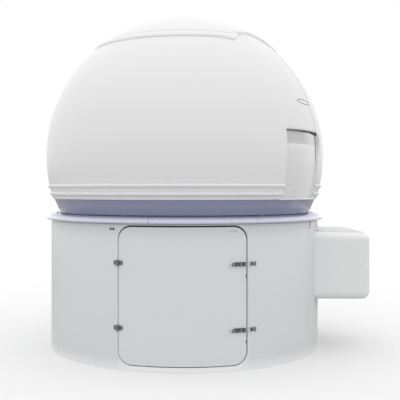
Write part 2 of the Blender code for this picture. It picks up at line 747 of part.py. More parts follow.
BUILDING = new_empty("building axis", (AXIS_X, 0.0, 0.0))
DOOR_HINGE = new_empty("door hinge axis", on_wall(-GAP_BEARING, WALL_RADIUS + 0.016, 0.0), parent=BUILDING)
LATCH_TURN = Matrix.Rotation(math.radians(LATCH_BEARING), 4, "Z")
LEVER_PINS = {}
for latch_level, latch_height in LATCH_HEIGHTS.items():
    seat = Vector(on_wall(LATCH_BEARING, WALL_RADIUS, latch_height))
    pin_place = seat + (LATCH_TURN @ Vector((*LATCH_PIVOT, 0.0)))
    LEVER_PINS[latch_level] = new_empty(f"{latch_level} lever pin axis", pin_place, parent=BUILDING)
DOME = new_empty("dome axis", turn=SLOT_BEARING - 90.0, parent=BUILDING)
SHUTTER = new_empty("shutter axis", (0.0, 0.0, DOME_CENTRE_Z), parent=DOME)

build_walls()
build_bay()
build_top_ring()
build_rollers()
build_door()
for hinge_level, hinge_height in HINGE_HEIGHTS.items():
    build_hinge(hinge_level, hinge_height)
for latch_level, latch_height in LATCH_HEIGHTS.items():
    build_latch(latch_level, latch_height)
build_dome_shell()
build_crown()
build_skirt()
build_front_panel()
build_shutter()
build_shutter_rails()
bpy.context.view_layer.update()
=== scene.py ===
import json
import math

import bmesh
import bpy
from mathutils import Matrix, Vector


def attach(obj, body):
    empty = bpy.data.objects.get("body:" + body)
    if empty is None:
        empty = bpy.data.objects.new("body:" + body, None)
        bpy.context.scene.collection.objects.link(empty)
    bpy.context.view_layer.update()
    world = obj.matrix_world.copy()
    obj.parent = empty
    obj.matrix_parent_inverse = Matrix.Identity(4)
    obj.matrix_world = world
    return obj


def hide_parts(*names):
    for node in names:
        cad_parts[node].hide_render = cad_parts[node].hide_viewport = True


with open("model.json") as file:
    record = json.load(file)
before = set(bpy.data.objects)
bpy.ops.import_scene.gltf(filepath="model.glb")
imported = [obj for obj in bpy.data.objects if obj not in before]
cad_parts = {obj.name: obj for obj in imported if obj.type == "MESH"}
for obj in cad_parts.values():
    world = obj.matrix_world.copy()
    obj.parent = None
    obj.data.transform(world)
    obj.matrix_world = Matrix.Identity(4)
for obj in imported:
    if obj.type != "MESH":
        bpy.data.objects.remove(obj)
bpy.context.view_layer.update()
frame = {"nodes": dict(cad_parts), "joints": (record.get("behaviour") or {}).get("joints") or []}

# Round wall: three curved panels of white gelcoat over glass fibre, bolted edge to edge with a strip behind
# each joint. The front panel is cut for the door and the right panel for the bay.
turning = next(joint for joint in frame["joints"] if joint["name"] == "dome_rotation")
AXIS = Vector((turning["pos_m"][0], turning["pos_m"][1], 0.0))
WALL_RADIUS = 1.301
WALL_SKIN = 0.010
WALL_EDGE = 0.0015
WALL_HEIGHT = 1.214
WALL_JOINT = 0.045
SEAMS = (60.0, 180.0, 300.0)
STRIP_HALF = 1.4
STRIP_END = 0.004
STRIP_SKIN = 0.006
STRIP_RADIUS = WALL_RADIUS - WALL_SKIN - 0.0003
DOORWAY = {"middle": 0.0010, "half": 0.5390, "low": 0.0458, "high": 1.205, "corner": 0.1170}
BAY_MOUTH = {"start": 69.0, "end": 111.0, "low": 0.524, "high": 1.092}
WALL_WHITE = (0.69, 0.695, 0.702)


class Link:
    """A socket in a node tree. Arithmetic on it adds Math nodes."""

    def __init__(self, tree, socket):
        self.tree = tree
        self.socket = socket

    def node(self, kind, settings=None, inputs=None, output=0):
        made = self.tree.nodes.new(kind)
        for name, value in (settings or {}).items():
            setattr(made, name, value)
        for name, value in (inputs or {}).items():
            for source in value if isinstance(value, list) else [value]:
                if isinstance(source, Link):
                    self.tree.links.new(source.socket, made.inputs[name])
                else:
                    made.inputs[name].default_value = source
        return Link(self.tree, made.outputs[output])

    def math(self, operation, first, second):
        return self.node("ShaderNodeMath", {"operation": operation}, {0: first, 1: second})

    def __add__(self, other):
        return self.math("ADD", self, other)

    def __radd__(self, other):
        return self.math("ADD", other, self)

    def __sub__(self, other):
        return self.math("SUBTRACT", self, other)

    def __rsub__(self, other):
        return self.math("SUBTRACT", other, self)

    def __mul__(self, other):
        return self.math("MULTIPLY", self, other)

    def __rmul__(self, other):
        return self.math("MULTIPLY", other, self)

    def __truediv__(self, other):
        return self.math("DIVIDE", self, other)

    def clamped(self):
        return self.node("ShaderNodeClamp", None, {"Value": self})

    def moved(self, offset, scale=(1.0, 1.0, 1.0), turn=0.0):
        inputs = {"Vector": self, "Location": offset, "Scale": scale, "Rotation": (0.0, 0.0, turn)}
        return self.node("ShaderNodeMapping", None, inputs)

    def part(self, index):
        """One of a vector's three numbers."""
        return self.node("ShaderNodeSeparateXYZ", None, {0: self}, output=index)

    def length(self):
        return self.node("ShaderNodeVectorMath", {"operation": "LENGTH"}, {0: self}, output=1)

    def noise(self, scale, detail=2.0, rough=0.5):
        inputs = {"Vector": self, "Scale": scale, "Detail": detail, "Roughness": rough}
        return self.node("ShaderNodeTexNoise", {"noise_dimensions": "3D"}, inputs)

    def blend(self, low, high):
        """A colour between two, plain or linked, as this value goes from 0 to 1."""
        ends = [value if isinstance(value, Link) else (*value, 1.0) for value in (low, high)]
        return self.node("ShaderNodeMix", {"data_type": "RGBA"}, {0: self, 6: ends[0], 7: ends[1]}, output=2)


def new_finish(name, constants):
    """A material with its plain values set on the shader, and the piece's own coordinates to start from."""
    material = bpy.data.materials.new(name)
    material.use_nodes = True
    tree = material.node_tree
    shader = tree.nodes["Principled BSDF"]
    for socket, value in constants.items():
        shader.inputs[socket].default_value = value
    place = tree.nodes.new("ShaderNodeTexCoord")
    return material, shader, Link(tree, place.outputs["Object"])


def feed(shader, link, socket):
    link.tree.links.new(link.socket, shader.inputs[socket])


def relief(shader, height, strength, distance):
    """Fine relief on the surface from a height."""
    inputs = {"Strength": strength, "Distance": distance, "Height": height}
    feed(shader, height.node("ShaderNodeBump", None, inputs), "Normal")


def rise(value, start, slope):
    """0 up to a start, and then up to 1 at a slope."""
    return ((value - start) * slope).clamped()


def fall(value, end, slope):
    """Down at a slope to 0 at an end."""
    return ((end - value) * slope).clamped()


def toned(shade, place, tones):
    """The shade with each tone's tint laid over it by the tone's mask."""
    for tone in tones:
        mask, tint = tone(place)
        shade = mask.blend(shade, tint)
    return shade


def gelcoat(name, colour, tones=()):
    """White gelcoat: a soft gloss with mould ripple, faint cloudiness, and any lighter or greyer bands."""
    constants = {"Coat Weight": 0.06, "Coat Roughness": 0.20, "Specular IOR Level": 0.20}
    material, shader, place = new_finish(name, constants)
    cloud = place.noise(2.2, 4.0)
    speck = place.noise(46.0, 3.0)
    shade = cloud.blend(tuple(channel * 0.985 for channel in colour), colour)
    feed(shader, toned(shade, place, tones), "Base Color")
    feed(shader, 0.34 + cloud * 0.07 + speck * 0.05, "Roughness")
    relief(shader, place.noise(9.0, 1.0) * 0.35 + speck * 0.06, 0.10, 0.004)
    return material


def radial(bearing):
    """Straight out from the axis, at a bearing from the door's middle, counted towards the bay."""
    turn = math.radians(bearing)
    return Vector((math.sin(turn), -math.cos(turn), 0.0))


def on_wall(bearing, radius, height):
    return AXIS + radial(bearing) * radius + Vector((0.0, 0.0, height))


def steps_between(first, last, step):
    count = max(1, math.ceil(abs(last - first) / step - 1e-6))
    return [first + (last - first) * k / count for k in range(count + 1)]


def add_piece(name, mesh, sharp=30.0):
    """An object at the origin with smooth shading that breaks at its sharp edges."""
    if mesh.polygons:
        mesh.shade_smooth()
        mesh.set_sharp_from_angle(angle=math.radians(sharp))
    piece = bpy.data.objects.new(name, mesh)
    bpy.context.scene.collection.objects.link(piece)
    return piece


def new_piece(name, shape, material=None, sharp=30.0):
    mesh = bpy.data.meshes.new(name)
    shape.to_mesh(mesh)
    shape.free()
    if material:
        mesh.materials.append(material)
    return add_piece(name, mesh, sharp)


def fit(piece, body, slot, *nodes):
    """The piece moves with a body and stands for the nodes that it replaces. The slot is not used."""
    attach(piece, body)
    if nodes:
        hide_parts(*nodes)
    return piece


def modified(piece, name, kind, **settings):
    modifier = piece.modifiers.new(name, kind)
    for key, value in settings.items():
        setattr(modifier, key, value)
    return modifier


def settled(piece):
    """The piece with its modifiers worked into its mesh."""
    bpy.context.view_layer.update()
    evaluated = piece.evaluated_get(bpy.context.evaluated_depsgraph_get())
    mesh = bpy.data.meshes.new_from_object(evaluated)
    piece.modifiers.clear()
    piece.data = mesh
    return piece


def opening_levels(opening, across):
    """Lowest and highest points of an opening with round corners, at a distance across from its middle."""
    beyond = abs(across) - (opening["half"] - opening["corner"])
    rise = 0.0
    if beyond > 0:
        rise = opening["corner"] - math.sqrt(max(0.0, opening["corner"] ** 2 - beyond**2))
    return opening["low"] + rise, opening["high"] - rise


def opening_columns(opening, step=1.5):
    """(bearing, lowest, highest) across an opening in the wall, close together round its corners."""
    flat = opening["half"] - opening["corner"]
    corner = [flat + opening["corner"] * math.sin(math.radians(turn)) for turn in range(0, 91, 6)]
    middle = steps_between(-flat, flat, WALL_RADIUS * math.radians(step))
    columns = []
    for distance in [-x for x in reversed(corner)] + middle[1:-1] + corner:
        bearing = math.degrees(math.asin((distance + opening["middle"]) / WALL_RADIUS))
        columns.append((bearing, opening_levels(opening, distance)))
    return columns


def bent_sheet(columns, radius):
    """A curved sheet from columns of (bearing, levels). Four levels leave an opening in the middle."""
    shape = bmesh.new()
    rows = []
    for bearing, levels in columns:
        rows.append([shape.verts.new(on_wall(bearing, radius, level)) for level in levels])
    for left, right in zip(rows, rows[1:]):
        if len(left) == len(right):
            for low in range(0, len(left), 2):
                shape.faces.new((left[low], right[low], right[low + 1], left[low + 1]))
        else:
            shape.faces.new(left[:1] + right + left[:0:-1])
    return shape


def thickened(sheet, skin, edge=0.0, segments=2):
    """The sheet with its thickness behind it, and with its edges eased if it has an edge width."""
    modified(sheet, "skin", "SOLIDIFY", thickness=skin, offset=-1.0)
    if edge:
        by_angle = {"limit_method": "ANGLE", "angle_limit": math.radians(60)}
        modified(sheet, "edges", "BEVEL", width=edge, segments=segments, **by_angle)
    return settled(sheet)


def wall_panel(name, columns, nodes):
    panel = new_piece(name, bent_sheet(columns, WALL_RADIUS), wall_white)
    fit(thickened(panel, WALL_SKIN, WALL_EDGE), "building", "white_gelcoat", *nodes)


def plain_columns(start, end, step=1.5):
    return [(bearing, (0.0, WALL_HEIGHT)) for bearing in steps_between(start, end, step)]


def painted_ring_shade(place):
    """Painted shade under the capping ring: a slightly greyer band near the top of the wall."""
    high = place.part(2)
    return rise(high, 1.085, 12.0) * fall(high, 1.19, 22.0) * 0.4, (0.56, 0.56, 0.565)


def painted_floor_bounce(place):
    """Painted light from the floor: a lighter band at the foot of the wall."""
    return fall(place.part(2), 0.095, 13.0), (0.83, 0.83, 0.84)


wall_white = gelcoat("wall gelcoat", WALL_WHITE, [painted_ring_shade, painted_floor_bounce])
doorway_columns = opening_columns(DOORWAY)
front = plain_columns(-60 + WALL_JOINT, doorway_columns[0][0])[:-1]
front += [(bearing, (0.0, low, high, WALL_HEIGHT)) for bearing, (low, high) in doorway_columns]
front += plain_columns(doorway_columns[-1][0], 60 - WALL_JOINT)[1:]
wall_panel("front_wall_panel", front, ("wall_front_left", "wall_front_right", "door_sill", "door_head"))

right = plain_columns(60 + WALL_JOINT, BAY_MOUTH["start"])[:-1]
for bearing in steps_between(BAY_MOUTH["start"], BAY_MOUTH["end"], 1.5):
    right.append((bearing, (0.0, BAY_MOUTH["low"], BAY_MOUTH["high"], WALL_HEIGHT)))
right += plain_columns(BAY_MOUTH["end"], 180 - WALL_JOINT)[1:]
right_nodes = ("wall_bay_front", "wall_bay_rear", "wall_below_bay", "wall_above_bay", "wall_rear_right")
wall_panel("right_wall_panel", right, right_nodes)
wall_panel("left_wall_panel", plain_columns(180 + WALL_JOINT, 300 - WALL_JOINT), ("wall_left",))

for seam in SEAMS:
    bearings = steps_between(seam - STRIP_HALF, seam + STRIP_HALF, STRIP_HALF / 2)
    columns = [(bearing, (STRIP_END, WALL_HEIGHT - STRIP_END)) for bearing in bearings]
    strip = new_piece(f"joint_strip_{seam:.0f}", bent_sheet(columns, STRIP_RADIUS), wall_white)
    backing = thickened(strip, STRIP_SKIN)
    fit(backing, "building", "white_gelcoat")

# Bolts through the wall: two rows on each joint strip inside, and a pair with large washers at the head of
# the doorway. Dull dark steel, each a chamfered head on a washer.
BOLT = {"sides": 6, "radius": 0.0065, "height": 0.0050, "washer": 0.0110, "thick": 0.0018}
STRIP_BOLT = {"sides": 6, "radius": 0.0055, "height": 0.0045, "washer": 0.0085, "thick": 0.0014}
STRIP_BOLT_SIDES = (-0.85, 0.85)
STRIP_BOLT_LEVELS = (0.07, 1.15, 0.12)
STRIP_BOLT_SUNK = 0.0005
HEAD_BOLTS = [(-27.55, 1.172), (-26.30, 1.172)]
HEAD_BOLT_SUNK = 0.0004


def steel(name, colour, rough):
    """Stainless steel with fine rolling lines and a little smudging."""
    material, shader, place = new_finish(name, {"Metallic": 1.0})
    lines = place.moved((0.0, 0.0, 0.0), (1.0, 1.0, 40.0)).noise(30.0, 2.0)
    smudge = place.noise(24.0, 3.0)
    feed(shader, smudge.blend(tuple(channel * 0.80 for channel in colour), colour), "Base Color")
    feed(shader, rough + lines * 0.12 + smudge * 0.10, "Roughness")
    relief(shader, lines, 0.10, 0.0004)
    return material


class Recipe:
    """A Geometry Nodes tree in the making, with named inputs for its sizes."""

    def __init__(self, name):
        self.tree = bpy.data.node_groups.new(name, "GeometryNodeTree")
        for way in ("INPUT", "OUTPUT"):
            self.tree.interface.new_socket("Geometry", in_out=way, socket_type="NodeSocketGeometry")
        self.entry = self.tree.nodes.new("NodeGroupInput")
        self.start = Link(self.tree, self.entry.outputs["Geometry"])
        self.values = {}

    def size(self, name, value, kind="NodeSocketFloat"):
        """A named input. Its value is kept under the socket's identifier for the modifier."""
        socket = self.tree.interface.new_socket(name, in_out="INPUT", socket_type=kind)
        self.values[socket.identifier] = value
        return Link(self.tree, self.entry.outputs[name])

    def grow(self, name, base, geometry, material, sharp=30.0):
        """The piece that the tree makes from a base mesh, as a plain mesh."""
        whole = geometry.node("GeometryNodeRealizeInstances", None, {"Geometry": geometry})
        painted = whole.node("GeometryNodeSetMaterial", None, {"Geometry": whole, "Material": material})
        leaving = self.tree.nodes.new("NodeGroupOutput")
        self.tree.links.new(painted.socket, leaving.inputs["Geometry"])
        piece = add_piece(name, base)
        modifier = modified(piece, "recipe", "NODES", node_group=self.tree)
        for identifier, value in self.values.items():
            modifier[identifier] = value
        settled(piece)
        piece.data.shade_smooth()
        piece.data.set_sharp_from_angle(angle=math.radians(sharp))
        return piece


def spots_mesh(name, spots):
    """Loose points from (place, facing) pairs, with the facing kept as an attribute."""
    mesh = bpy.data.meshes.new(name)
    mesh.from_pydata([place for place, facing in spots], [], [])
    facings = mesh.attributes.new("facing", "FLOAT_VECTOR", "POINT")
    for entry, (place, facing) in zip(facings.data, spots):
        entry.vector = facing
    return mesh


def faced(recipe):
    """The rotation that stands an instance on its point's facing."""
    inputs = {"Name": "facing"}
    facing = recipe.start.node("GeometryNodeInputNamedAttribute", {"data_type": "FLOAT_VECTOR"}, inputs)
    return facing.node("FunctionNodeAlignRotationToVector", {"axis": "Z"}, {"Vector": facing})


def raised(solid, height):
    lift = height.node("ShaderNodeCombineXYZ", None, {"Z": height})
    return solid.node("GeometryNodeTransform", None, {"Geometry": solid, "Translation": lift})


def fixings(name, spots, head, material, body, slot="stainless_steel"):
    """A washer and a chamfered head at each spot."""
    recipe = Recipe(name)
    sides = recipe.size("Sides", head["sides"], "NodeSocketInt")
    radius = recipe.size("Head radius", head["radius"])
    height = recipe.size("Head height", head["height"])
    washer = recipe.size("Washer radius", head["washer"])
    thick = recipe.size("Washer thickness", head["thick"])
    start = recipe.start
    ring = {"Vertices": 20, "Radius": washer, "Depth": thick}
    plate = raised(start.node("GeometryNodeMeshCylinder", None, ring), thick * 0.5)
    body_sizes = {"Vertices": sides, "Radius": radius, "Depth": height * 0.7}
    shank = raised(start.node("GeometryNodeMeshCylinder", None, body_sizes), thick + height * 0.35)
    cap_sizes = {"Vertices": sides, "Radius Bottom": radius, "Radius Top": radius * 0.72}
    cap_sizes["Depth"] = height * 0.3
    cap = raised(start.node("GeometryNodeMeshCone", None, cap_sizes), thick + height * 0.7)
    solid = plate.node("GeometryNodeJoinGeometry", None, {"Geometry": [plate, shank, cap]})
    inputs = {"Points": start, "Instance": solid, "Rotation": faced(recipe)}
    placed = solid.node("GeometryNodeInstanceOnPoints", None, inputs)
    return fit(recipe.grow(name, spots_mesh(name, spots), placed, material), body, slot)


dark_steel = steel("weathered steel", (0.16, 0.16, 0.165), 0.34)
strip_spots = []
for seam in SEAMS:
    for level in steps_between(*STRIP_BOLT_LEVELS):
        for side in STRIP_BOLT_SIDES:
            place = on_wall(seam + side, STRIP_RADIUS - STRIP_SKIN + STRIP_BOLT_SUNK, level)
            strip_spots.append((place, -radial(seam + side)))
fixings("joint_strip_bolts", strip_spots, STRIP_BOLT, dark_steel, "building")


def bolts_on_wall(name, places, head, material, body):
    """Bolts at (bearing, height) places on the wall's face."""
    face = WALL_RADIUS - HEAD_BOLT_SUNK
    spots = [(on_wall(bearing, face, height), radial(bearing)) for bearing, height in places]
    fixings(name, spots, head, material, body)


bolts_on_wall("doorway_bolts", HEAD_BOLTS, BOLT, dark_steel, "building")

# Door seal: a dark grey rubber strip round the doorway behind the gap, 2 mm behind the shut door. It turns
# the gap round the door into a fine dark line.
SEAL_OUTER = {"half": 0.558, "low": 0.024, "high": 1.2125, "corner": 0.138}
SEAL_INNER = {"half": 0.512, "low": 0.070, "high": 1.178, "corner": 0.096}
SEAL_FACE = 1.2905
SEAL_INNER_FACE = 1.2880
SEAL_BACK = 1.2830
SEAL_POINTS = 220


def rubber(name, colour):
    """Dull rubber with a fine grain."""
    material, shader, place = new_finish(name, {"Specular IOR Level": 0.25})
    grain = place.noise(180.0, 2.0)
    feed(shader, grain.blend(colour, tuple(channel * 1.6 for channel in colour)), "Base Color")
    feed(shader, 0.62 + grain * 0.15, "Roughness")
    relief(shader, grain, 0.3, 0.0008)
    return material


def corner_points(opening, count=10):
    """Points round an opening with round corners, as (across, height), in one turn."""
    points = []
    half, corner = opening["half"], opening["corner"]
    centres = [
        (half - corner, opening["high"] - corner, 0),
        (corner - half, opening["high"] - corner, 90),
        (corner - half, opening["low"] + corner, 180),
        (half - corner, opening["low"] + corner, 270),
    ]
    for x, z, start in centres:
        for k in range(count + 1):
            turn = math.radians(start + 90 * k / count)
            points.append((x + corner * math.cos(turn), z + corner * math.sin(turn)))
    return points


def resampled(points, count):
    """The same closed line with its points spread evenly."""
    lengths = [0.0]
    loop = points + points[:1]
    for (x, z), (next_x, next_z) in zip(loop, loop[1:]):
        lengths.append(lengths[-1] + math.hypot(next_x - x, next_z - z))
    result = []
    segment = 0
    for k in range(count):
        along = lengths[-1] * k / count
        while lengths[segment + 1] < along:
            segment += 1
        share = (along - lengths[segment]) / max(1e-9, lengths[segment + 1] - lengths[segment])
        (x, z), (next_x, next_z) = loop[segment], loop[segment + 1]
        result.append((x + (next_x - x) * share, z + (next_z - z) * share))
    return result


def wall_point(across, height, radius):
    return AXIS + Vector((across, -math.sqrt(radius**2 - across**2), height))


def lofted(outlines, closed=False):
    """A solid from outlines of the same count, with end faces unless the last one joins the first."""
    shape = bmesh.new()
    rows = [[shape.verts.new(point) for point in outline] for outline in outlines]
    pairs = list(zip(rows, rows[1:]))
    if closed:
        pairs.append((rows[-1], rows[0]))
    else:
        shape.faces.new(rows[0][::-1])
        shape.faces.new(rows[-1])
    for first, second in pairs:
        for k in range(len(first)):
            after = (k + 1) % len(first)
            shape.faces.new((first[k], first[after], second[after], second[k]))
    bmesh.ops.recalc_face_normals(shape, faces=shape.faces[:])
    return shape


seal_rubber = rubber("seal rubber", (0.032, 0.032, 0.034))
outer_line, inner_line = [resampled(corner_points(edge), SEAL_POINTS) for edge in (SEAL_OUTER, SEAL_INNER)]
seal_loops = []
for line, face in ((outer_line, SEAL_FACE), (inner_line, SEAL_INNER_FACE)):
    seal_loops.append([wall_point(x, z, face) for x, z in line])
for line in (inner_line, outer_line):
    seal_loops.append([wall_point(x, z, SEAL_BACK) for x, z in line])
fit(new_piece("door_seal", lofted(seal_loops, closed=True), seal_rubber), "building", "rubber")

# Accessory bay: a hollow moulded box of white gelcoat over glass fibre with large round edges, open at the
# back and bonded to the wall round its opening.
BAY = {"reach": 1.725, "half": 0.500, "low": 0.4855, "high": 1.127}
BAY_START = 1.0
BAY_FALL = 0.020
BAY_ROUND = 0.072
BAY_SKIN = 0.008
BAY_SLOPE = 0.0276
DRUM = {"middle": 0.8, "tall": 2.0, "clear": 0.0003}


def box_shape(low, high, fall=0.0):
    """A box whose top falls towards its outer end."""
    shape = bmesh.new()
    size = Vector(high) - Vector(low)
    middle = (Vector(high) + Vector(low)) / 2 + AXIS
    bmesh.ops.create_cube(shape, size=1.0, matrix=Matrix.Translation(middle) @ Matrix.Diagonal((*size, 1.0)))
    for corner in shape.verts:
        if corner.co.x > middle.x and corner.co.z > middle.z:
            corner.co.z -= fall
    return shape


def cutter(name, shape):
    tool = new_piece(name, shape)
    tool.hide_render = True
    return tool


def cut_with(piece, tools):
    """Cuts the tools out of the piece and throws them away."""
    for tool in tools:
        modified(piece, tool.name, "BOOLEAN", object=tool, operation="DIFFERENCE", solver="EXACT")
    settled(piece)
    for tool in tools:
        bpy.data.objects.remove(tool, do_unlink=True)


def lid_height(place):
    """Height, as if the bay's falling top were level."""
    return place.part(2) + (place.part(0) - (AXIS.x + BAY_START)) * BAY_SLOPE


def painted_lid_shade(place):
    """Painted shade: the bay's flat top, greyer than its sides."""
    return rise(lid_height(place), 1.1145, 110.0), (0.60, 0.60, 0.605)


def painted_edge_light(place):
    """Painted light: the bay's upper round edges, lighter than its sides."""
    return rise(lid_height(place), 1.045, 18.0), (0.89, 0.89, 0.895)


bay_white = gelcoat("bay gelcoat", (0.775, 0.78, 0.785), [painted_edge_light, painted_lid_shade])
reach, half, low, high = BAY["reach"], BAY["half"], BAY["low"], BAY["high"]
bay_shape = box_shape((BAY_START, -half, low), (reach, half, high), BAY_FALL)
bay = new_piece("bay_housing", bay_shape, bay_white, sharp=50.0)
modified(bay, "round edges", "BEVEL", width=BAY_ROUND, segments=9, limit_method="ANGLE")
inside_low = (BAY_START / 2, BAY_SKIN - half, low + BAY_SKIN)
inside_high = (reach - BAY_SKIN, half - BAY_SKIN, high - BAY_SKIN)
hollow = cutter("bay hollow", box_shape(inside_low, inside_high, BAY_FALL))
modified(hollow, "round edges", "BEVEL", width=BAY_ROUND - BAY_SKIN, segments=9, limit_method="ANGLE")
drum_shape = bmesh.new()
drum_radius = WALL_RADIUS + DRUM["clear"]
drum_place = Matrix.Translation(AXIS + Vector((0.0, 0.0, DRUM["middle"])))
drum_sizes = {"segments": 360, "radius1": drum_radius, "radius2": drum_radius, "depth": DRUM["tall"]}
bmesh.ops.create_cone(drum_shape, cap_ends=True, matrix=drum_place, **drum_sizes)
cut_with(bay, [hollow, cutter("wall drum", drum_shape)])
bay.data.set_sharp_from_angle(angle=math.radians(50))
fit(bay, "building", "white_gelcoat", "accessory_bay")

# Capping ring on the wall: nine curved lengths in pale blue-grey gloss, with a drip edge outside, a ledge on
# top and a leg inside that the rollers are bolted to. Each joint between lengths is a narrow gap.
RING_START = -52.0
RING_LENGTHS = 9
RING_GAP = 0.06
RING_MIDDLE = 1.290
RING_PROFILE = [
    (1.2925, 1.2770),
    (1.2945, 1.2762),
    (1.3430, 1.2362),
    (1.3440, 1.2345),
    (1.3440, 1.2255),
    (1.3430, 1.2240),
    (1.3010, 1.2143),
    (1.2890, 1.2143),
    (1.2890, 1.2540),
    (1.2800, 1.2650),
    (1.2230, 1.2650),
    (1.2230, 1.2050),
    (1.2150, 1.2050),
    (1.2150, 1.2755),
    (1.2165, 1.2770),
]
RING_BOLT = {"sides": 6, "radius": 0.0070, "height": 0.0055, "washer": 0.0115, "thick": 0.0020}
RING_BOLTS = {"count": 24, "first": 1.5, "radius": 1.250, "height": 1.2767}


def gloss_paint(name, colour, deep, rough=0.20, tones=(), coat=0.35):
    """Sprayed gloss on glass fibre: orange peel, with a slightly deeper tone where the spray is thick."""
    material, shader, place = new_finish(name, {"Coat Weight": coat, "Coat Roughness": 0.08})
    cloud = place.noise(3.0, 3.0)
    peel = place.noise(160.0, 2.0)
    feed(shader, toned(cloud.blend(deep, colour), place, tones), "Base Color")
    feed(shader, rough + cloud * 0.08, "Roughness")
    relief(shader, peel, 0.08, 0.001)
    return material


def axis_distance(place):
    return place.moved(tuple(-AXIS), (1.0, 1.0, 0.0)).length()


def ledge_painted_shade(place):
    """Painted shade under the skirt: a deeper blue-grey on the ring's inner ledge, which fades down the
    slope.
    """
    return fall(axis_distance(place), 1.326, 34.0), (0.135, 0.148, 0.240)


ring_grey = gloss_paint("ring gloss", (0.58, 0.60, 0.715), (0.555, 0.58, 0.70), tones=[ledge_painted_shade])
ring_recipe = Recipe("capping ring")
sweep = ring_recipe.size("Sweep", math.radians(360.0 / RING_LENGTHS - 2 * RING_GAP))
pitch = ring_recipe.size("Pitch", math.radians(360.0 / RING_LENGTHS))
first_turn = ring_recipe.size("First joint", math.radians(RING_START + RING_GAP - 90.0))
lengths = ring_recipe.size("Lengths", RING_LENGTHS, "NodeSocketInt")
centre = ring_recipe.size("Centre", tuple(AXIS), "NodeSocketVector")
outline = pitch.node("GeometryNodeMeshToCurve", None, {"Mesh": ring_recipe.start})
arc_sizes = {"Resolution": 21, "Radius": RING_MIDDLE, "Start Angle": 0.0, "Sweep Angle": sweep}
arc = pitch.node("GeometryNodeCurveArc", {"mode": "RADIUS"}, arc_sizes)
swept = {"Curve": arc, "Profile Curve": outline, "Fill Caps": True}
length_solid = pitch.node("GeometryNodeCurveToMesh", None, swept)
row = {"Count": lengths, "Start Location": centre, "Offset": (0.0, 0.0, 0.0)}
stations = pitch.node("GeometryNodeMeshLine", None, row)
order = pitch.node("GeometryNodeInputIndex")
euler = pitch.node("ShaderNodeCombineXYZ", None, {"Z": order * pitch + first_turn})
spin = pitch.node("FunctionNodeEulerToRotation", None, {"Euler": euler})
inputs = {"Points": stations, "Instance": length_solid, "Rotation": spin}
placed = pitch.node("GeometryNodeInstanceOnPoints", None, inputs)
profile_mesh = bpy.data.meshes.new("ring profile")
profile_points = [(radius - RING_MIDDLE, -height, 0.0) for radius, height in RING_PROFILE]
profile_edges = [(k, (k + 1) % len(profile_points)) for k in range(len(profile_points))]
profile_mesh.from_pydata(profile_points, profile_edges, [])
ring = ring_recipe.grow("capping_ring", profile_mesh, placed, ring_grey, sharp=25.0)
fit(ring, "building", "ring_paint", "top_ring_1", "top_ring_2", "top_ring_3")

ring_spots = []
for k in range(RING_BOLTS["count"]):
    bearing = RING_BOLTS["first"] + 360 / RING_BOLTS["count"] * k
    ring_spots.append((on_wall(bearing, RING_BOLTS["radius"], RING_BOLTS["height"]), (0.0, 0.0, 1.0)))
fixings("ring_bolts", ring_spots, RING_BOLT, dark_steel, "building")

# Rollers: six small wheels on stub axles, each on a steel block bolted to the ring's leg. The dome's track
# runs on them.
BEVELLED = {"limit_method": "ANGLE", "angle_limit": math.radians(40), "segments": 2}
ROLLER_EDGE = 0.0008


def softened(node, name, material, body, width):
    """A fitting's own shape with its loose triangles joined and its edges eased."""
    shape = bmesh.new()
    shape.from_mesh(frame["nodes"][node].data)
    bmesh.ops.remove_doubles(shape, verts=shape.verts[:], dist=0.00002)
    whole = {"verts": shape.verts[:], "edges": shape.edges[:]}
    bmesh.ops.dissolve_limit(shape, angle_limit=math.radians(1.0), **whole)
    piece = new_piece(name, shape, material)
    modified(piece, "eased edges", "BEVEL", width=width, **BEVELLED)
    return fit(settled(piece), body, "stainless_steel", node)


stainless = steel("stainless steel", (0.52, 0.52, 0.53), 0.24)
for count in range(1, 7):
    softened(f"roller_{count}", f"track_roller_{count}", stainless, "building", ROLLER_EDGE)

# Door: one curved moulding with round corners that sits flush with the wall, hung on the left and latched on
# the right. Two bolts at its head hold a stay inside.
DOOR = {"middle": -0.0007, "half": 0.5317, "low": 0.053, "high": 1.1915, "corner": 0.110}
DOOR_SKIN = 0.010
DOOR_EDGE = 0.002
DOOR_BOLTS = [(18.2, 1.158), (19.6, 1.158)]
DOOR_BOLT = {"sides": 20, "radius": 0.0060, "height": 0.0030, "washer": 0.0085, "thick": 0.0012}
# The door takes the same painted shade under the capping ring.
door_white = gelcoat("door gelcoat", (0.70, 0.705, 0.715), [painted_ring_shade])
door = new_piece("door_leaf", bent_sheet(opening_columns(DOOR), WALL_RADIUS), door_white)
fit(thickened(door, DOOR_SKIN, DOOR_EDGE, segments=3), "door", "white_gelcoat", "door")
bolts_on_wall("door_bolts", DOOR_BOLTS, DOOR_BOLT, stainless, "door")

# Hinges: two stainless butt hinges outside the gap, their leaves screwed to the wall and the door, with a
# knuckle that stands proud of both.
GAP_BEARING = 24.25
HINGE_HEIGHTS = {"lower": 0.352, "upper": 0.892}
HINGE_SCREW = {"sides": 14, "radius": 0.0032, "height": 0.0012, "washer": 0.0036, "thick": 0.0004}
SCREW_ALONG = 0.028
SCREW_UP = 0.0105
PLATE_FACE = 0.0035
LEAF_EDGE = 0.0006


def fitting_spots(bearing, height, offsets, out=PLATE_FACE):
    """Spots on a fitting's plate, from (along, up) offsets from its middle."""
    along_wall = radial(bearing + 90.0)
    middle = on_wall(bearing, WALL_RADIUS + out, height)
    spots = []
    for along, up in offsets:
        spots.append((middle + along_wall * along + Vector((0.0, 0.0, up)), radial(bearing)))
    return spots


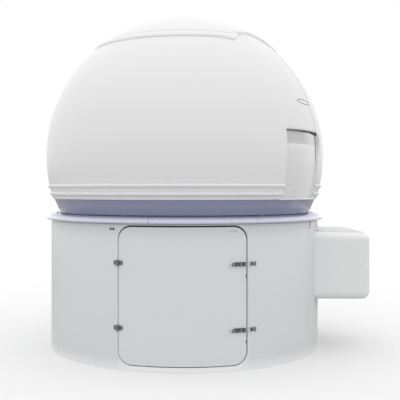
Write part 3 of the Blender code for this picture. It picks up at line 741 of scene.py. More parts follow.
hinge_steel = steel("hinge steel", (0.27, 0.27, 0.275), 0.28)
for level, height in HINGE_HEIGHTS.items():
    softened(f"{level}_hinge_wall_leaf", f"{level}_hinge_fixed_leaf", hinge_steel, "building", LEAF_EDGE)
    softened(f"{level}_hinge_door_leaf", f"{level}_hinge_moving_leaf", hinge_steel, "door", LEAF_EDGE)
    for side, body, label in ((-1, "building", "fixed"), (1, "door", "moving")):
        offsets = [(side * SCREW_ALONG, SCREW_UP), (side * SCREW_ALONG, -SCREW_UP)]
        spots = fitting_spots(-GAP_BEARING, height, offsets)
        fixings(f"{level}_hinge_{label}_screws", spots, HINGE_SCREW, hinge_steel, body)

# Toggle latches: a base with ears and a long lever on the door, a wire loop, and a keeper on the wall that
# the loop pulls against. Each lever has a round rivet near its tip and a pale band across it.
LATCH_HEIGHTS = {"lower": 0.338, "upper": 0.884}
LATCH_BEARING = GAP_BEARING - 2.9
KEEPER_BEARING = GAP_BEARING + 2.6
LATCH_SCREW = {"sides": 14, "radius": 0.0026, "height": 0.0010, "washer": 0.0029, "thick": 0.0004}
BASE_OFFSETS = [(-0.046, 0.0142), (-0.046, -0.0142), (0.020, 0.0142), (0.020, -0.0142)]
KEEPER_OFFSETS = [(-0.020, 0.0125), (-0.020, -0.0125), (0.020, 0.0130), (0.020, -0.0130)]
RIVET = {"sides": 24, "radius": 0.0064, "height": 0.0006, "washer": 0.0092, "thick": 0.0006}
RIVET_ALONG = -0.066
RIVET_OUT = 0.0231
TIP_LEAN = math.radians(16.5)
BAND_ALONG = 0.006
BAND_HALF = 0.0036
BAND_FACE = WALL_RADIUS + 0.0184
BAND_THICK = 0.0009
BAND_TALL = 0.0112
PLATE_EDGE = 0.0005
LOOP_EDGE = 0.0002
LEVER_EDGE = 0.0006


def turned(profile, bearings, closed=False):
    """A (radius, height) outline turned round the axis, with end faces unless it goes all the way."""
    outlines = []
    for bearing in bearings:
        outlines.append([on_wall(bearing, radius, height) for radius, height in profile])
    return lofted(outlines, closed)


def oblong(inner, outer, low, high):
    """A rectangular (radius, height) outline."""
    return [(inner, low), (outer, low), (outer, high), (inner, high)]


lever_steel = steel("lever steel", (0.17, 0.17, 0.175), 0.22)
for level, height in LATCH_HEIGHTS.items():
    softened(f"{level}_latch_base", f"{level}_latch_plate", hinge_steel, "door", PLATE_EDGE)
    softened(f"{level}_latch_loop", f"{level}_wire_loop", stainless, "door", LOOP_EDGE)
    softened(f"{level}_latch_lever", f"{level}_toggle_lever", lever_steel, f"{level}_lever", LEVER_EDGE)
    softened(f"{level}_latch_keeper", f"{level}_keeper_plate", hinge_steel, "building", PLATE_EDGE)
    along_wall, outward = radial(LATCH_BEARING + 90.0), radial(LATCH_BEARING)
    rivet_place = on_wall(LATCH_BEARING, WALL_RADIUS + RIVET_OUT, height) + along_wall * RIVET_ALONG
    rivet_face = along_wall * math.sin(TIP_LEAN) + outward * math.cos(TIP_LEAN)
    fixings(f"{level}_lever_rivet", [(rivet_place, rivet_face)], RIVET, stainless, f"{level}_lever")
    band_outline = oblong(BAND_FACE, BAND_FACE + BAND_THICK, height - BAND_TALL, height + BAND_TALL)
    ends = [LATCH_BEARING + math.degrees((BAND_ALONG + side * BAND_HALF) / BAND_FACE) for side in (-1, 1)]
    band = new_piece(f"{level}_lever_band", turned(band_outline, ends), stainless)
    fit(band, f"{level}_lever", "stainless_steel")
    base_spots = fitting_spots(LATCH_BEARING, height, BASE_OFFSETS)
    fixings(f"{level}_latch_screws", base_spots, LATCH_SCREW, stainless, "door")
    keeper_spots = fitting_spots(KEEPER_BEARING, height, KEEPER_OFFSETS)
    fixings(f"{level}_keeper_screws", keeper_spots, LATCH_SCREW, stainless, "building")

# Seam clip: a small bent plate of pale steel under the capping ring, screwed to the wall just past the joint
# between the front and right wall panels.
CLIP_BEARING = 61.5
CLIP_HALF = 0.010
CLIP_SCREW_LEVEL = 1.168
CLIP_SCREW_UP = 0.018
CLIP_FACE = 0.0049
CLIP_OUTLINE = [
    (1.3013, 1.1480),
    (1.3048, 1.1480),
    (1.3060, 1.1500),
    (1.3060, 1.1990),
    (1.3130, 1.2100),
    (1.3130, 1.2150),
    (1.3013, 1.2115),
]
pale_steel = steel("pale steel", (0.66, 0.66, 0.66), 0.36)
clip_turn = math.degrees(CLIP_HALF / WALL_RADIUS)
clip_shape = turned(CLIP_OUTLINE, [CLIP_BEARING - clip_turn, CLIP_BEARING, CLIP_BEARING + clip_turn])
clip = new_piece("seam_clip", clip_shape, pale_steel)
modified(clip, "eased edges", "BEVEL", width=PLATE_EDGE, **BEVELLED)
fit(settled(clip), "building", "stainless_steel")
clip_spots = fitting_spots(CLIP_BEARING, CLIP_SCREW_LEVEL, [(0.0, 0.0), (0.0, CLIP_SCREW_UP)], CLIP_FACE)
fixings("seam_clip_screws", clip_spots, LATCH_SCREW, stainless, "building")

# Door bumpers: two dark grey rubber pads let into the door's latching edge, one a little below each latch.
# They show as short dark marks beside the gap.
BUMPER_HEIGHTS = {"lower": 0.239, "upper": 0.784}
BUMPER_BEARING = 23.98
BUMPER_TURN = 0.16
BUMPER_BACK = 1.2985
BUMPER_FACE = 1.3012
BUMPER_TALL = 0.012
for level, height in BUMPER_HEIGHTS.items():
    bumper_outline = oblong(BUMPER_BACK, BUMPER_FACE, height - BUMPER_TALL, height + BUMPER_TALL)
    bumper = turned(bumper_outline, [BUMPER_BEARING - BUMPER_TURN, BUMPER_BEARING + BUMPER_TURN])
    fit(new_piece(f"{level}_door_bumper", bumper, seal_rubber), "door", "rubber")

# Skirt and track: a slate blue-grey ring under the dome's rim that tapers in to the flat track on the
# rollers.
SKIRT_PROFILE = [
    (1.2740, 1.4147),
    (1.2180, 1.2890),
    (1.2160, 1.2855),
    (1.2140, 1.2850),
    (1.1420, 1.2850),
    (1.1400, 1.2870),
    (1.1400, 1.2930),
    (1.2060, 1.2930),
    (1.2620, 1.4147),
]
SKIRT_PAINT = (0.285, 0.305, 0.435)
SKIRT_DEEP = (0.270, 0.290, 0.420)


def skirt_painted_light(place):
    """Painted light: a lighter tone over the skirt's lower part, against the shade that falls there."""
    return fall(place.part(2), 1.385, 10.0), (0.40, 0.42, 0.575)


def all_round(profile, first=0.0):
    """An outline turned right round the axis in steps of two degrees."""
    return turned(profile, [first + 2.0 * k for k in range(180)], closed=True)


skirt_slate = gloss_paint("skirt gloss", SKIRT_PAINT, SKIRT_DEEP, 0.26, [skirt_painted_light], coat=0.9)
skirt = new_piece("skirt_ring", all_round(SKIRT_PROFILE), skirt_slate)
fit(skirt, "dome", "skirt_paint", "dome_skirt")

# Skirt brush: a ring of stiff slate-coloured bristles under the skirt that closes the gap over the capping
# ring against driven rain and turns with the dome.
BRUSH_RADIUS = 1.2152
BRUSH_LEAN = 0.30
BRUSH_COUNT = 2400
BRUSH_TOP = 1.2858
BRUSH_SEED = 3
BRISTLE_LENGTH = 0.0084
BRISTLE_ROOT = 0.0009


def bristle_finish(name, colour):
    """Plain stiff fibre, streaked a little darker."""
    material, shader, place = new_finish(name, {"Roughness": 0.55, "Specular IOR Level": 0.3})
    streak = place.noise(300.0, 1.0)
    feed(shader, streak.blend(tuple(channel * 0.7 for channel in colour), colour), "Base Color")
    return material


def brush(name, spots, material, body):
    """A tapered bristle at each spot, a little uneven in length and lean."""
    recipe = Recipe(name)
    reach = recipe.size("Length", BRISTLE_LENGTH)
    root = recipe.size("Root radius", BRISTLE_ROOT)
    lean = recipe.size("Unevenness", 0.10)
    number = recipe.size("Seed", BRUSH_SEED, "NodeSocketInt")
    start = recipe.start
    taper = {"Vertices": 4, "Radius Bottom": root, "Radius Top": root * 0.6, "Depth": reach}
    bristle = start.node("GeometryNodeMeshCone", None, taper)

    def drawn(low, high, draw):
        """A random number for each bristle, the same in every run."""
        inputs = {2: low, 3: high, 8: draw}
        return start.node("FunctionNodeRandomValue", {"data_type": "FLOAT"}, inputs, 1)

    tilts = {"X": drawn(lean * -1.0, lean, number), "Y": drawn(lean * -1.0, lean, number + 7)}
    euler = start.node("ShaderNodeCombineXYZ", None, tilts)
    tilt = start.node("FunctionNodeEulerToRotation", None, {"Euler": euler})
    turn = {"Rotation": faced(recipe), "Rotate By": tilt}
    stood = start.node("FunctionNodeRotateRotation", {"rotation_space": "LOCAL"}, turn)
    inputs = {"Points": start, "Instance": bristle, "Rotation": stood}
    inputs["Scale"] = drawn(0.86, 1.0, number + 13)
    placed = start.node("GeometryNodeInstanceOnPoints", None, inputs)
    fit(recipe.grow(name, spots_mesh(name, spots), placed, material), body, "rubber")


slate_bristle = bristle_finish("slate bristle", (0.26, 0.275, 0.36))
brush_spots = []
for k in range(BRUSH_COUNT):
    bearing = 360.0 * k / BRUSH_COUNT
    lean = (radial(bearing) * BRUSH_LEAN - Vector((0.0, 0.0, 1.0))).normalized()
    brush_spots.append((on_wall(bearing, BRUSH_RADIUS, BRUSH_TOP), lean))
brush("skirt_brush", brush_spots, slate_bristle, "dome")

# Dome shell: white gelcoat over glass fibre in one skin, with two bead ribs above the rim, and a slot cut
# from the rim over the top for the shutter.
SLOT_BEARING = 53.5
DOME_CENTRE = 1.823
DOME_RADIUS = 1.350
DOME_SKIN = 0.008
DOME_POLE = 8.5
RIM_Z = 1.415
RIM_INNER = 1.250
SLOT_HALF = 0.280
SLOT_END = -0.634
SLOT_CUT = {"reach": 1.6, "tall": 2.2, "middle": 2.3}
RIBS = (1.5300, 1.4595)
RIB_HALF = 0.0165
RIB_PROUD = 0.015
DOME_WHITE = (0.805, 0.805, 0.815)
BALL_MIDDLE = AXIS + Vector((0.0, 0.0, DOME_CENTRE))
TO_SLOT = Matrix.Translation(AXIS) @ Matrix.Rotation(math.radians(SLOT_BEARING - 90.0), 4, "Z")


def ball_radius(height, radius):
    """Distance from the axis of a sphere about the dome's centre, at a height."""
    return math.sqrt(radius**2 - (height - DOME_CENTRE) ** 2)


def shell_profile():
    """From near the top down the outside, over the ribs, in along the rim, and back up the inside."""
    rim_polar = math.degrees(math.acos((RIM_Z - DOME_CENTRE) / DOME_RADIUS))
    outside = []
    for polar in steps_between(DOME_POLE, rim_polar, 1.5):
        height = DOME_CENTRE + DOME_RADIUS * math.cos(math.radians(polar))
        if all(abs(height - rib) > 1.3 * RIB_HALF for rib in RIBS):
            outside.append((ball_radius(height, DOME_RADIUS), height))
    for rib in RIBS:
        for k in range(-8, 9):
            share = k / 8
            height = rib + share * RIB_HALF
            proud = RIB_PROUD * (1 - abs(share) ** 3) ** 0.8
            outside.append((ball_radius(height, DOME_RADIUS) + proud, height))
    outside.sort(key=lambda point: -point[1])
    shelf = RIM_Z + DOME_SKIN
    inner = DOME_RADIUS - DOME_SKIN
    last_polar = math.degrees(math.acos((shelf - DOME_CENTRE) / inner))
    inside = []
    for polar in steps_between(last_polar, DOME_POLE, 3.0):
        turn = math.radians(polar)
        inside.append((inner * math.sin(turn), DOME_CENTRE + inner * math.cos(turn)))
    rim = [(RIM_INNER + 0.001, RIM_Z), (RIM_INNER, RIM_Z + 0.001), (RIM_INNER, shelf)]
    return outside + rim + inside


def ball_shading(piece, radii, within=0.0004):
    """Points the shading straight out from the dome's centre where a face lies on one of these spheres."""
    mesh = piece.data
    normals = [Vector(corner.vector) for corner in mesh.corner_normals]
    for face in mesh.polygons:
        for loop in face.loop_indices:
            ray = mesh.vertices[mesh.loops[loop].vertex_index].co - BALL_MIDDLE
            length = ray.length
            if any(abs(length - radius) < within for radius in radii):
                ray.normalize()
                facing = ray.dot(face.normal)
                if abs(facing) > 0.96:
                    normals[loop] = ray if facing > 0 else -ray
    mesh.normals_split_custom_set(normals)


def in_slot(place):
    """The place with X out along the slot's middle and Y towards its far side."""
    return place.moved(tuple(-AXIS)).moved((0.0, 0.0, 0.0), turn=math.radians(90.0 - SLOT_BEARING))


def slot_side_painted_shadow(place):
    """Painted shadow: a grey patch on the shell beside the slot, by the foot of the shutter's far side."""
    side, high = in_slot(place).part(1), place.part(2)
    beside = rise(side, 0.274, 200.0) * fall(side, 0.385, 14.0) * rise(in_slot(place).part(0), 0.0, 5.0)
    return beside * rise(high, 1.80, 7.0) * fall(high, 2.03, 25.0), (0.46, 0.46, 0.465)


dome_white = gelcoat("dome gelcoat", DOME_WHITE)
shell_white = gelcoat("shell gelcoat", DOME_WHITE, [slot_side_painted_shadow])
shell = new_piece("dome_shell", all_round(shell_profile(), SLOT_BEARING), shell_white)
slot_shape = bmesh.new()
slot_size = Matrix.Diagonal((SLOT_CUT["reach"] - SLOT_END, 2 * SLOT_HALF, SLOT_CUT["tall"], 1.0))
slot_middle = ((SLOT_CUT["reach"] + SLOT_END) / 2, 0.0, SLOT_CUT["middle"])
slot_place = TO_SLOT @ Matrix.Translation(slot_middle) @ slot_size
bmesh.ops.create_cube(slot_shape, size=1.0, matrix=slot_place)
cut_with(shell, [cutter("slot tool", slot_shape)])
shell.data.set_sharp_from_angle(angle=math.radians(40))
ball_shading(shell, (DOME_RADIUS, DOME_RADIUS - DOME_SKIN))
shell_nodes = ("dome_front_near", "dome_rear_near", "dome_rear_far", "dome_front_far")
fit(shell, "dome", "white_gelcoat", *shell_nodes)

# Crown: a separate white moulding fixed over the top of the slot, with a raised band round its edge that
# turns down to the dome in a soft step. Its front is hollowed between two horns beside the shutter.
CROWN_SEAT = 1.3503
CROWN_SKIN = 0.005
CROWN_BAND = 0.016
CROWN_OUTER = {"radius": 0.889, "front": 0.755, "bend": 0.66, "horn": 0.360}
CROWN_INNER = {"radius": 0.821, "front": 0.698, "bend": 0.62, "horn": 0.334}
CROWN_POINTS = 240


def crown_radius(outline, turn):
    """Distance of the crown's edge from the axis, at an angle from the slot's middle."""
    reach = outline["radius"]
    tangent = math.tan(turn)
    front, bend = outline["front"], outline["bend"]
    if abs(math.degrees(turn)) < 60:
        inside = 1 - 4 * bend * tangent**2 * front
        if tangent == 0:
            forward = front
        elif inside > 0:
            forward = (1 - math.sqrt(inside)) / (2 * bend * tangent**2)
        else:
            forward = 9.0
        side = abs(forward * tangent)
        if side <= outline["horn"]:
            return forward / math.cos(turn)
        tip = math.hypot(front + bend * outline["horn"] ** 2, outline["horn"])
        tip_turn = math.atan2(outline["horn"], front + bend * outline["horn"] ** 2)
        share = min(1.0, (abs(turn) - tip_turn) / math.radians(7.0))
        return tip + (reach - tip) * share
    return reach


def crown_line(outline, soft):
    """The edge as distances at even angles, with its corners eased over a few degrees."""
    fine = CROWN_POINTS * 6
    rough = [crown_radius(outline, math.pi * (2 * k / fine - 1)) for k in range(fine)]
    width = max(1, round(soft / 360 * fine))
    line = []
    for k in range(CROWN_POINTS):
        centre = k * 6
        values = [rough[(centre + offset) % fine] for offset in range(-width, width + 1)]
        line.append(sum(values) / len(values))
    return line


def crown_shape():
    outer, inner = crown_line(CROWN_OUTER, 1.3), crown_line(CROWN_INNER, 1.6)
    top, low = CROWN_BAND, CROWN_SKIN
    rings = [(0.0, 0.0, 0.0), (0.0, 0.0, 0.10 * top), (0.0, 0.06, 0.62 * top), (0.0, 0.15, 0.92 * top)]
    rings += [(0.0, 0.24, top), (0.0, 0.72, top), (0.0, 0.90, 0.97 * top), (0.0, 0.97, 0.84 * top)]
    rings += [(0.0, 1.0, 0.60 * top), (0.008, 1.0, low + 0.10 * (top - low)), (0.03, 1.0, low)]
    rings += [(share, 1.0, low) for share in (0.09, 0.2, 0.35, 0.5, 0.65, 0.8, 0.92)]
    shape = bmesh.new()

    def ring(inward, across, lift):
        made = []
        for k in range(CROWN_POINTS):
            turn = math.pi * (2 * k / CROWN_POINTS - 1)
            reach = (outer[k] + (inner[k] - outer[k]) * across) * (1 - inward)
            spot = Vector((reach * math.cos(turn), reach * math.sin(turn), 0.0))
            spot.z = math.sqrt(CROWN_SEAT**2 - reach**2)
            spot = spot * ((CROWN_SEAT + lift) / CROWN_SEAT)
            made.append(shape.verts.new(TO_SLOT @ (spot + Vector((0.0, 0.0, DOME_CENTRE)))))
        return made

    def skin_between(first, second):
        for k in range(CROWN_POINTS):
            after = (k + 1) % CROWN_POINTS
            shape.faces.new((first[k], first[after], second[after], second[k]))

    outside = [ring(*values) for values in rings]
    under = [ring(share, 0.0, 0.0) for share in (0.1, 0.3, 0.5, 0.7, 0.9)]
    for first, second in zip(outside, outside[1:]):
        skin_between(first, second)
    chain = [outside[0]] + under
    for first, second in zip(chain, chain[1:]):
        skin_between(second, first)
    for edge, lift in ((outside[-1], low), (under[-1], 0.0)):
        pole = shape.verts.new(TO_SLOT @ Vector((0.0, 0.0, DOME_CENTRE + CROWN_SEAT + lift)))
        for k in range(CROWN_POINTS):
            after = (k + 1) % CROWN_POINTS
            corners = (edge[k], edge[after], pole)
            shape.faces.new(corners if lift else corners[::-1])
    bmesh.ops.recalc_face_normals(shape, faces=shape.faces[:])
    return shape


def crown_groove_shade(place):
    """Painted shade: a slightly greyer line in the groove behind the raised band."""
    out = axis_distance(place)
    return rise(out, 0.790, 60.0) * fall(out, 0.8225, 300.0), (0.62, 0.62, 0.625)


crown_white = gelcoat("crown gelcoat", DOME_WHITE, [crown_groove_shade])
crown = new_piece("crown_cap", crown_shape(), crown_white, sharp=55.0)
fit(crown, "dome", "white_gelcoat", "dome_crown")

# Front panel: a fixed white tray in the foot of the slot. Its face follows the dome a little way in, and
# steps in under the shutter's lip on its near side. A bar along its foot laps over the dome's rim.
PANEL_RADIUS = 1.3285
PANEL_FOOT = 1.4153
PANEL_TOP = 2.018
PANEL_SIDE_TOP = 1.990
PANEL_HALF = 0.276
PANEL_SKIN = 0.006
JOGGLE_LOW = 1.894
JOGGLE_HIGH = 1.904
JOGGLE_DEPTH = 0.012
JOGGLE_NEAR = -0.10
JOGGLE_FAR = 0.13
BAR_LOW = 1.411
BAR_HIGH = 1.425
BAR_HALF = 0.318
BAR_THICK = 0.008
TONGUE_INNER = 1.2745
PANEL_SUNK = 0.0003
PANEL_INSET = 0.002
PANEL_EASE = 0.001
BAR_SEAT = 0.0003
TONGUE_IN = 0.004
PANEL_FALLS = [(0.009, 1, -0.10, 0.05), (0.012, 1, 0.12, 0.22), (0.003, -1, 0.10, 0.26)]
PANEL_SCREWS = [(-0.205, 1.543)]
EDGE_SCREWS = [(0.289, 1.582)]
PANEL_SCREW = {"sides": 16, "radius": 0.0042, "height": 0.0016, "washer": 0.0050, "thick": 0.0006}


def smooth_share(value, low, high):
    share = min(1.0, max(0.0, (value - low) / (high - low)))
    return share * share * (3 - 2 * share)


def panel_point(side, height, back=0.0):
    """A place on the panel's face, or behind it, at a distance to one side of the slot's middle."""
    top_here = PANEL_TOP
    for drop, sign, start, end in PANEL_FALLS:
        top_here -= drop * smooth_share(sign * side, start, end)
    height = min(height, top_here)
    fade = 1 - smooth_share(side, JOGGLE_NEAR, JOGGLE_FAR)
    joggle = JOGGLE_DEPTH * smooth_share(height, JOGGLE_LOW, JOGGLE_HIGH) * fade
    reach = ball_radius(height, PANEL_RADIUS - back) - joggle
    return slot_point(reach, side, height)


def slot_point(reach, side, height):
    """A place in the slot, at a distance from the axis and a distance to one side of the slot's middle."""
    return TO_SLOT @ Vector((math.sqrt(reach**2 - side**2), side, height))


def merged(shapes):
    """Several shapes as one bmesh."""
    whole = bmesh.new()
    for shape in shapes:
        carrier = bpy.data.meshes.new("carrier")
        shape.to_mesh(carrier)
        shape.free()
        whole.from_mesh(carrier)
        bpy.data.meshes.remove(carrier)
    return whole


def panel_shapes():
    """The face and the two side walls that stand from it out to the dome's surface."""
    heights = steps_between(PANEL_FOOT, JOGGLE_LOW, 0.04)[:-1]
    heights += steps_between(JOGGLE_LOW, JOGGLE_HIGH, 0.0025)[:-1]
    heights += steps_between(JOGGLE_HIGH, PANEL_TOP, 0.03)
    floor = PANEL_HALF - PANEL_INSET
    sides = steps_between(-floor, floor, 0.025)
    face_rows = []
    for height in heights:
        row = [panel_point(side, height) for side in sides]
        row += [panel_point(side, height, PANEL_SKIN) for side in reversed(sides)]
        face_rows.append(row)
    shapes = [lofted(face_rows)]
    for sign in (-1, 1):
        rows = []
        near, far = sign * (PANEL_HALF - PANEL_SKIN), sign * PANEL_HALF
        for height in steps_between(PANEL_FOOT, PANEL_SIDE_TOP, 0.03):
            outer = ball_radius(height, DOME_RADIUS - PANEL_INSET)
            edge = [(outer - PANEL_EASE, near), (outer, near + sign * PANEL_EASE)]
            edge += [(outer, far - sign * PANEL_EASE), (outer - PANEL_EASE, far)]
            row = [slot_point(reach, side, height) for reach, side in edge]
            ends = [panel_point(side, height, PANEL_SKIN - PANEL_EASE) for side in (near, far)]
            rows.append([ends[0]] + row + [ends[1]])
        shapes.append(lofted(rows))
    return shapes


def rounded_bar(low, high, inner, outer, radius=0.003):
    """A (radius, height) outline with its two outer corners eased."""
    points = [(inner, low), (outer - radius, low)]
    points += [(outer - radius * 0.3, low + radius * 0.3), (outer, low + radius)]
    points += [(outer, high - radius), (outer - radius * 0.3, high - radius * 0.3)]
    return points + [(outer - radius, high), (inner, high)]


def panel_lip_shadow(place):
    """Painted shadow of the shutter's lip: a greyer strip of the face, above its step."""
    above = rise(place.part(2), JOGGLE_LOW + 0.002, 140.0)
    near = fall(in_slot(place).part(1), 0.17, 5.5)
    return above * (0.35 + near * 0.65), (0.575, 0.575, 0.58)


def panel_near_shade(place):
    """Painted shade: a slightly greyer tone over the near side of the face."""
    return fall(in_slot(place).part(1), 0.14, 5.0), (0.755, 0.755, 0.76)


def slot_bearings(half, radius):
    reach = math.degrees(math.asin(half / radius))
    return steps_between(SLOT_BEARING - reach, SLOT_BEARING + reach, 2.0)


# The panel's white is a little lighter than the dome's, as painted light on the face.
panel_white = gelcoat("panel gelcoat", (0.84, 0.84, 0.85), [panel_near_shade, panel_lip_shadow])
bar_inner = ball_radius(BAR_HIGH, DOME_RADIUS) + BAR_SEAT
bar_outline = rounded_bar(BAR_LOW, BAR_HIGH, bar_inner, bar_inner + BAR_THICK)
bar_shape = turned(bar_outline, slot_bearings(BAR_HALF, bar_inner))
tongue_outline = oblong(TONGUE_INNER, bar_inner + BAR_THICK / 2, PANEL_FOOT, PANEL_FOOT + BAR_THICK)
tongue = turned(tongue_outline, slot_bearings(PANEL_HALF - TONGUE_IN, bar_inner))
panel = new_piece("slot_panel", merged(panel_shapes() + [bar_shape, tongue]), panel_white, sharp=40.0)
fit(panel, "dome", "white_gelcoat", "front_panel")
places = [panel_point(side, height, PANEL_SUNK) for side, height in PANEL_SCREWS]
for side, height in EDGE_SCREWS:
    places.append(slot_point(ball_radius(height, DOME_RADIUS - PANEL_SUNK), side, height))
panel_spots = [(place, (place - BALL_MIDDLE).normalized()) for place in places]
fixings("panel_screws", panel_spots, PANEL_SCREW, dark_steel, "dome")

# Corner bead: dark grey sealant along the far corner of the panel's face, where its side wall meets it; its
# dark colour also stands in for the shade in that corner. It grows thicker towards its top, where the
# corner's shade is deeper.
BEAD_LOW = 0.0006
BEAD_HIGH = 0.0042
BEAD_GROWS = (1.60, 1.97)
bead_rows = []
for height in steps_between(PANEL_FOOT + 0.012, PANEL_SIDE_TOP - 0.001, 0.02):
    wide = BEAD_LOW + (BEAD_HIGH - BEAD_LOW) * smooth_share(height, *BEAD_GROWS)
    corner = PANEL_HALF - PANEL_SKIN + PANEL_SUNK
    section = [(0.0, PANEL_SUNK), (0.0, -wide), (0.6 * wide, -0.6 * wide), (wide, PANEL_SUNK)]
    bead_rows.append([panel_point(corner - inward, height, back) for inward, back in section])
corner_shade_rubber = rubber("corner shade sealant", (0.060, 0.060, 0.062))
fit(new_piece("corner_shade_bead", lofted(bead_rows), corner_shade_rubber), "dome", "rubber")

# Shutter: a curved strip that closes the slot, a few millimetres below the dome's face. Its foot turns in as
# a lip, and a wing along each side runs inside the shell between two rails.
SHUTTER_RADIUS = 1.3445
SHUTTER_SKIN = 0.0065
SHUTTER_HALF = 0.272
SHUTTER_LIP = 8.67
SHUTTER_TOP = 62.0
SHUTTER_WING = 0.310
WING_RADIUS = 1.332
WING_SKIN = 0.006
LIP_DEEP = 0.042
LIP_TURN = 0.55
LIP_SECTION = [
    (0.32, 0.0008),
    (0.14, 0.0030),
    (0.03, 0.0068),
    (0.0, 0.012),
    (0.0, LIP_DEEP),
    (0.28, LIP_DEEP),
    (0.28, 0.014),
    (LIP_TURN, SHUTTER_SKIN),
]
EDGE_DROPS = [(0.0, 0.0035), (0.0015, 0.0008)]
EDGE_DEPTH = 0.01
FLAT_FROM = 0.012
WING_SECTION = [
    (WING_RADIUS - WING_SKIN, SHUTTER_WING),
    (WING_RADIUS, SHUTTER_WING),
    (WING_RADIUS, SHUTTER_HALF),
    (SHUTTER_RADIUS - 0.005, SHUTTER_HALF - 0.002),
    (SHUTTER_RADIUS - 0.006, SHUTTER_HALF - 0.008),
    (WING_RADIUS - WING_SKIN, SHUTTER_HALF - 0.008),
]


def swung(reach, side, climb):
    """A place on the shutter: a distance from the dome's centre, to one side, and an angle up."""
    arm = math.sqrt(reach**2 - side**2)
    turn = math.radians(climb)
    return TO_SLOT @ Vector((arm * math.cos(turn), side, DOME_CENTRE + arm * math.sin(turn)))


def shutter_shapes():
    """The strip with its lip, and a wing along each side."""
    drops = {}
    for inward, drop in EDGE_DROPS:
        drops[inward - SHUTTER_HALF] = drops[SHUTTER_HALF - inward] = drop
    flat = SHUTTER_HALF - FLAT_FROM
    sides = sorted(list(drops) + steps_between(-flat, flat, 0.03))
    climbs = steps_between(SHUTTER_LIP + LIP_TURN, SHUTTER_TOP, 1.5)
    outline = [(climb, 0.0) for climb in reversed(climbs)]
    outline += [(SHUTTER_LIP + above, inset) for above, inset in LIP_SECTION]
    outline += [(climb, SHUTTER_SKIN) for climb in climbs[1:]]
    rows = []
    for side in sides:
        row = []
        for climb, inset in outline:
            drop = drops.get(side, 0.0) if inset < EDGE_DEPTH else 0.0
            row.append(swung(SHUTTER_RADIUS - inset - drop, side, climb))
        rows.append(row)
    shapes = [lofted(rows)]
    for sign in (-1, 1):
        rows = []
        for climb in steps_between(SHUTTER_LIP + 0.05, SHUTTER_TOP, 1.5):
            rows.append([swung(spot, sign * side, climb) for spot, side in WING_SECTION])
        shapes.append(lofted(rows))
    return shapes


shutter = new_piece("shutter_strip", merged(shutter_shapes()), dome_white, sharp=42.0)
fit(shutter, "shutter", "white_gelcoat", "shutter")

# Slot lips: a thin strip of white rubber bonded along each edge of the slot, which reaches over the gap
# beside the shutter and keeps the rain out.
LIP_REACH = 0.0086
LIP_SKIN = 0.0027
LIP_CLIMBS = (8.7, 55.5, 1.0)
LIP_ROOTS = [(-1, "near", 1.3464), (1, "far", 1.3497)]
BLADE_LOW = 1.3451
BLADE_TIP = 0.0006
white_rubber = rubber("white rubber", (0.74, 0.74, 0.74))
for sign, label, root in LIP_ROOTS:
    rows = []
    for climb in steps_between(*LIP_CLIMBS):
        corners = [(root, SLOT_HALF), (BLADE_LOW + BLADE_TIP, SLOT_HALF - LIP_REACH)]
        corners += [(BLADE_LOW, SLOT_HALF - LIP_REACH), (root - LIP_SKIN, SLOT_HALF)]
        rows.append([swung(spot, sign * side, climb) for spot, side in corners])
    fit(new_piece(f"slot_lip_{label}", lofted(rows), white_rubber), "dome", "rubber")

# Crown wiper: a white rubber blade under the crown's front edge, which closes the narrow space that the
# shutter slides through.
WIPER_HALF = 0.268
WIPER_SKIN = 0.0035
WIPER_ROOT = 1.3512
WIPER_CORNERS = [
    (0.0, WIPER_ROOT),
    (BLADE_TIP, BLADE_LOW),
    (WIPER_SKIN, BLADE_LOW),
    (WIPER_SKIN, WIPER_ROOT),
]
wiper_rows = []
for side in steps_between(-WIPER_HALF, WIPER_HALF, 0.02):
    front = CROWN_OUTER["front"] + CROWN_OUTER["bend"] * side**2
    row = []
    for back, radius in WIPER_CORNERS:
        reach = front - back
        height = math.sqrt(radius**2 - reach**2 - side**2)
        row.append(TO_SLOT @ Vector((reach, side, DOME_CENTRE + height)))
    wiper_rows.append(row)
fit(new_piece("crown_wiper", lofted(wiper_rows), white_rubber), "dome", "rubber")

# Hand pull: a thin black rubber ring, lens-shaped, laid on the strip near its far edge. It outlines what is
# read as a pull or a cover there.
PULL_START = -0.007
PULL_END = 0.268
PULL_CLIMB = 20.4
PULL_RISE = 1.25
PULL_DROP = 0.85
PULL_RING = 0.0060
PULL_COUNT = 40
PULL_SECTION = [(0.0, -0.0010), (0.0, 0.0003), (0.0008, 0.0005), (PULL_RING, 0.0004), (PULL_RING, -0.0010)]


def pull_line(inset):
    """Points (side, climb) round the outline, drawn in by a distance."""
    middle, half = (PULL_START + PULL_END) / 2, (PULL_END - PULL_START) / 2 - inset
    line = []
    for k in range(2 * PULL_COUNT):
        turn = math.pi * k / PULL_COUNT
        side = math.cos(turn)
        tall = (PULL_RISE if turn < math.pi else PULL_DROP) - math.degrees(inset / SHUTTER_RADIUS)
        blunt = 1.15 - 0.45 * side
        climb = PULL_CLIMB + math.copysign(tall * abs(math.sin(turn)) ** blunt, math.sin(turn))
        line.append((middle + half * side, climb))
    return line


black_rubber = rubber("black rubber", (0.014, 0.014, 0.015))
pull_loops = []
for inset, lift in PULL_SECTION:
    pull_loops.append([swung(SHUTTER_RADIUS + lift, side, climb) for side, climb in pull_line(inset)])
fit(new_piece("hand_pull_ring", lofted(pull_loops, closed=True), black_rubber), "shutter", "rubber")

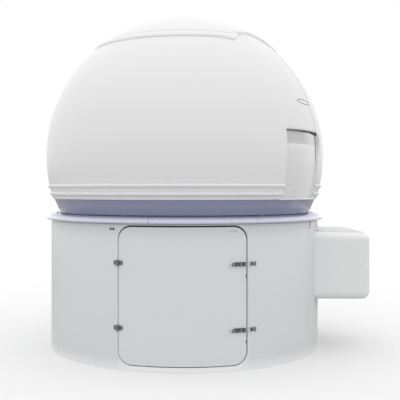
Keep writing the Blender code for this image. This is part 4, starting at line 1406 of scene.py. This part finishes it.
# Lip seal: a grey rubber strip under the shutter's lip, just clear of the front panel. It shows as a dark
# line across the slot, finer towards the near side.
LIP_SEAL_LOW = 8.38
LIP_SEAL_NEAR = 8.49
LIP_SEAL_END = 7.90
LIP_SEAL_CORNER = 0.070
LIP_SEAL_FACE = 1.3360
LIP_SEAL_BACK = 1.3220
LIP_SEAL_EASE = 0.0015
LIP_SEAL_EASE_UP = 0.10
LIP_SEAL_SEAT = SHUTTER_LIP - 0.02
LIP_SEAL_HALF = SHUTTER_HALF - 0.002
LIP_SEAL_TURN = 0.012
seal_bend = LIP_SEAL_HALF - LIP_SEAL_CORNER
seal_sides = steps_between(-LIP_SEAL_HALF, seal_bend, 0.03)
seal_sides += steps_between(seal_bend, LIP_SEAL_HALF, 0.005)[1:]
seal_rows = []
for side in seal_sides:
    share = smooth_share(side, seal_bend, LIP_SEAL_HALF - LIP_SEAL_TURN)
    low = LIP_SEAL_LOW + (LIP_SEAL_END - LIP_SEAL_LOW) * share
    low += (LIP_SEAL_NEAR - LIP_SEAL_LOW) * (1 - smooth_share(side, -LIP_SEAL_HALF, 0.0))
    corners = [(LIP_SEAL_FACE, LIP_SEAL_SEAT), (LIP_SEAL_FACE, low + LIP_SEAL_EASE_UP)]
    corners += [(LIP_SEAL_FACE - LIP_SEAL_EASE, low), (LIP_SEAL_BACK + LIP_SEAL_EASE, low)]
    corners += [(LIP_SEAL_BACK, low + LIP_SEAL_EASE_UP), (LIP_SEAL_BACK, LIP_SEAL_SEAT)]
    seal_rows.append([swung(spot, side, climb) for spot, climb in corners])
lip_rubber = rubber("lip rubber", (0.150, 0.150, 0.153))
fit(new_piece("lip_seal", lofted(seal_rows), lip_rubber), "shutter", "rubber", "shutter_seal")

# Shutter rails: two curved steel bars inside the shell, one on each side of the slot, between which the
# shutter's wings slide.
RAIL_EDGE = 0.001
for side in ("near", "far"):
    softened(f"shutter_rail_{side}", f"slide_rail_{side}", stainless, "dome", RAIL_EDGE)

# Camera, floor and light: the photo's level view from standing height, a plain pale floor, and soft light
# from above in a white studio. The floor sends back less light than it shows, and less again further out.
CAMERA_DISTANCE = 7.19
CAMERA_HEIGHT = 1.493
CAMERA_BEARING = 0.85
camera_data = bpy.data.cameras.new("camera")
camera_data.sensor_width = 36.0
camera_data.lens = 65.07
camera_data.shift_x = 0.0385
camera_data.shift_y = -0.0239
camera = bpy.data.objects.new("camera", camera_data)
camera.location = on_wall(CAMERA_BEARING, CAMERA_DISTANCE, CAMERA_HEIGHT)
camera.rotation_euler = (math.radians(90), 0.0, math.radians(CAMERA_BEARING))
bpy.context.scene.collection.objects.link(camera)
bpy.context.scene.camera = camera

FLOOR_RADIUS = 600.0
FLOOR_PALE = 0.86
BOUNCE_NEAR = 0.61
BOUNCE_FAR = 0.33
floor_look = {"Roughness": 0.8, "Specular IOR Level": 0.1}
floor_material, floor_shader, floor_place = new_finish("floor", floor_look)
bounce = rise(axis_distance(floor_place), 1.8, 0.4).blend((BOUNCE_NEAR,) * 3, (BOUNCE_FAR,) * 3)
feed(floor_shader, bounce, "Base Color")
shown = floor_place.node("ShaderNodeBsdfDiffuse", None, {"Color": (*(FLOOR_PALE,) * 3, 1.0)})
looked_at = floor_place.node("ShaderNodeLightPath")
lit = Link(floor_place.tree, floor_shader.outputs[0])
whole = looked_at.node("ShaderNodeMixShader", None, {0: looked_at, 1: lit, 2: shown})
floor_place.tree.links.new(whole.socket, floor_place.tree.nodes["Material Output"].inputs["Surface"])
floor_shape = bmesh.new()
bmesh.ops.create_circle(floor_shape, cap_ends=True, segments=96, radius=FLOOR_RADIUS)
new_piece("floor", floor_shape, floor_material)

SKY_TOP = 1.07
SKY_EDGE = 1.38
world = bpy.data.worlds.new("studio")
world.use_nodes = True
world_tree = world.node_tree
lamp = world_tree.nodes["Background"]
sky_place = Link(world_tree, world_tree.nodes.new("ShaderNodeTexCoord").outputs["Generated"])
sky_tone = sky_place.part(2).clamped().blend((SKY_EDGE,) * 3, (SKY_TOP,) * 3)
world_tree.links.new(sky_tone.socket, lamp.inputs["Color"])
backdrop = sky_place.node("ShaderNodeBackground", None, {"Color": (1.0, 1.0, 1.0, 1.0)})
seen = sky_place.node("ShaderNodeLightPath")
both = seen.node("ShaderNodeMixShader", None, {0: seen, 1: Link(world_tree, lamp.outputs[0]), 2: backdrop})
world_tree.links.new(both.socket, world_tree.nodes["World Output"].inputs["Surface"])
bpy.context.scene.world = world

bpy.context.scene.view_settings.view_transform = "Standard"
bpy.context.scene.view_settings.look = "None"
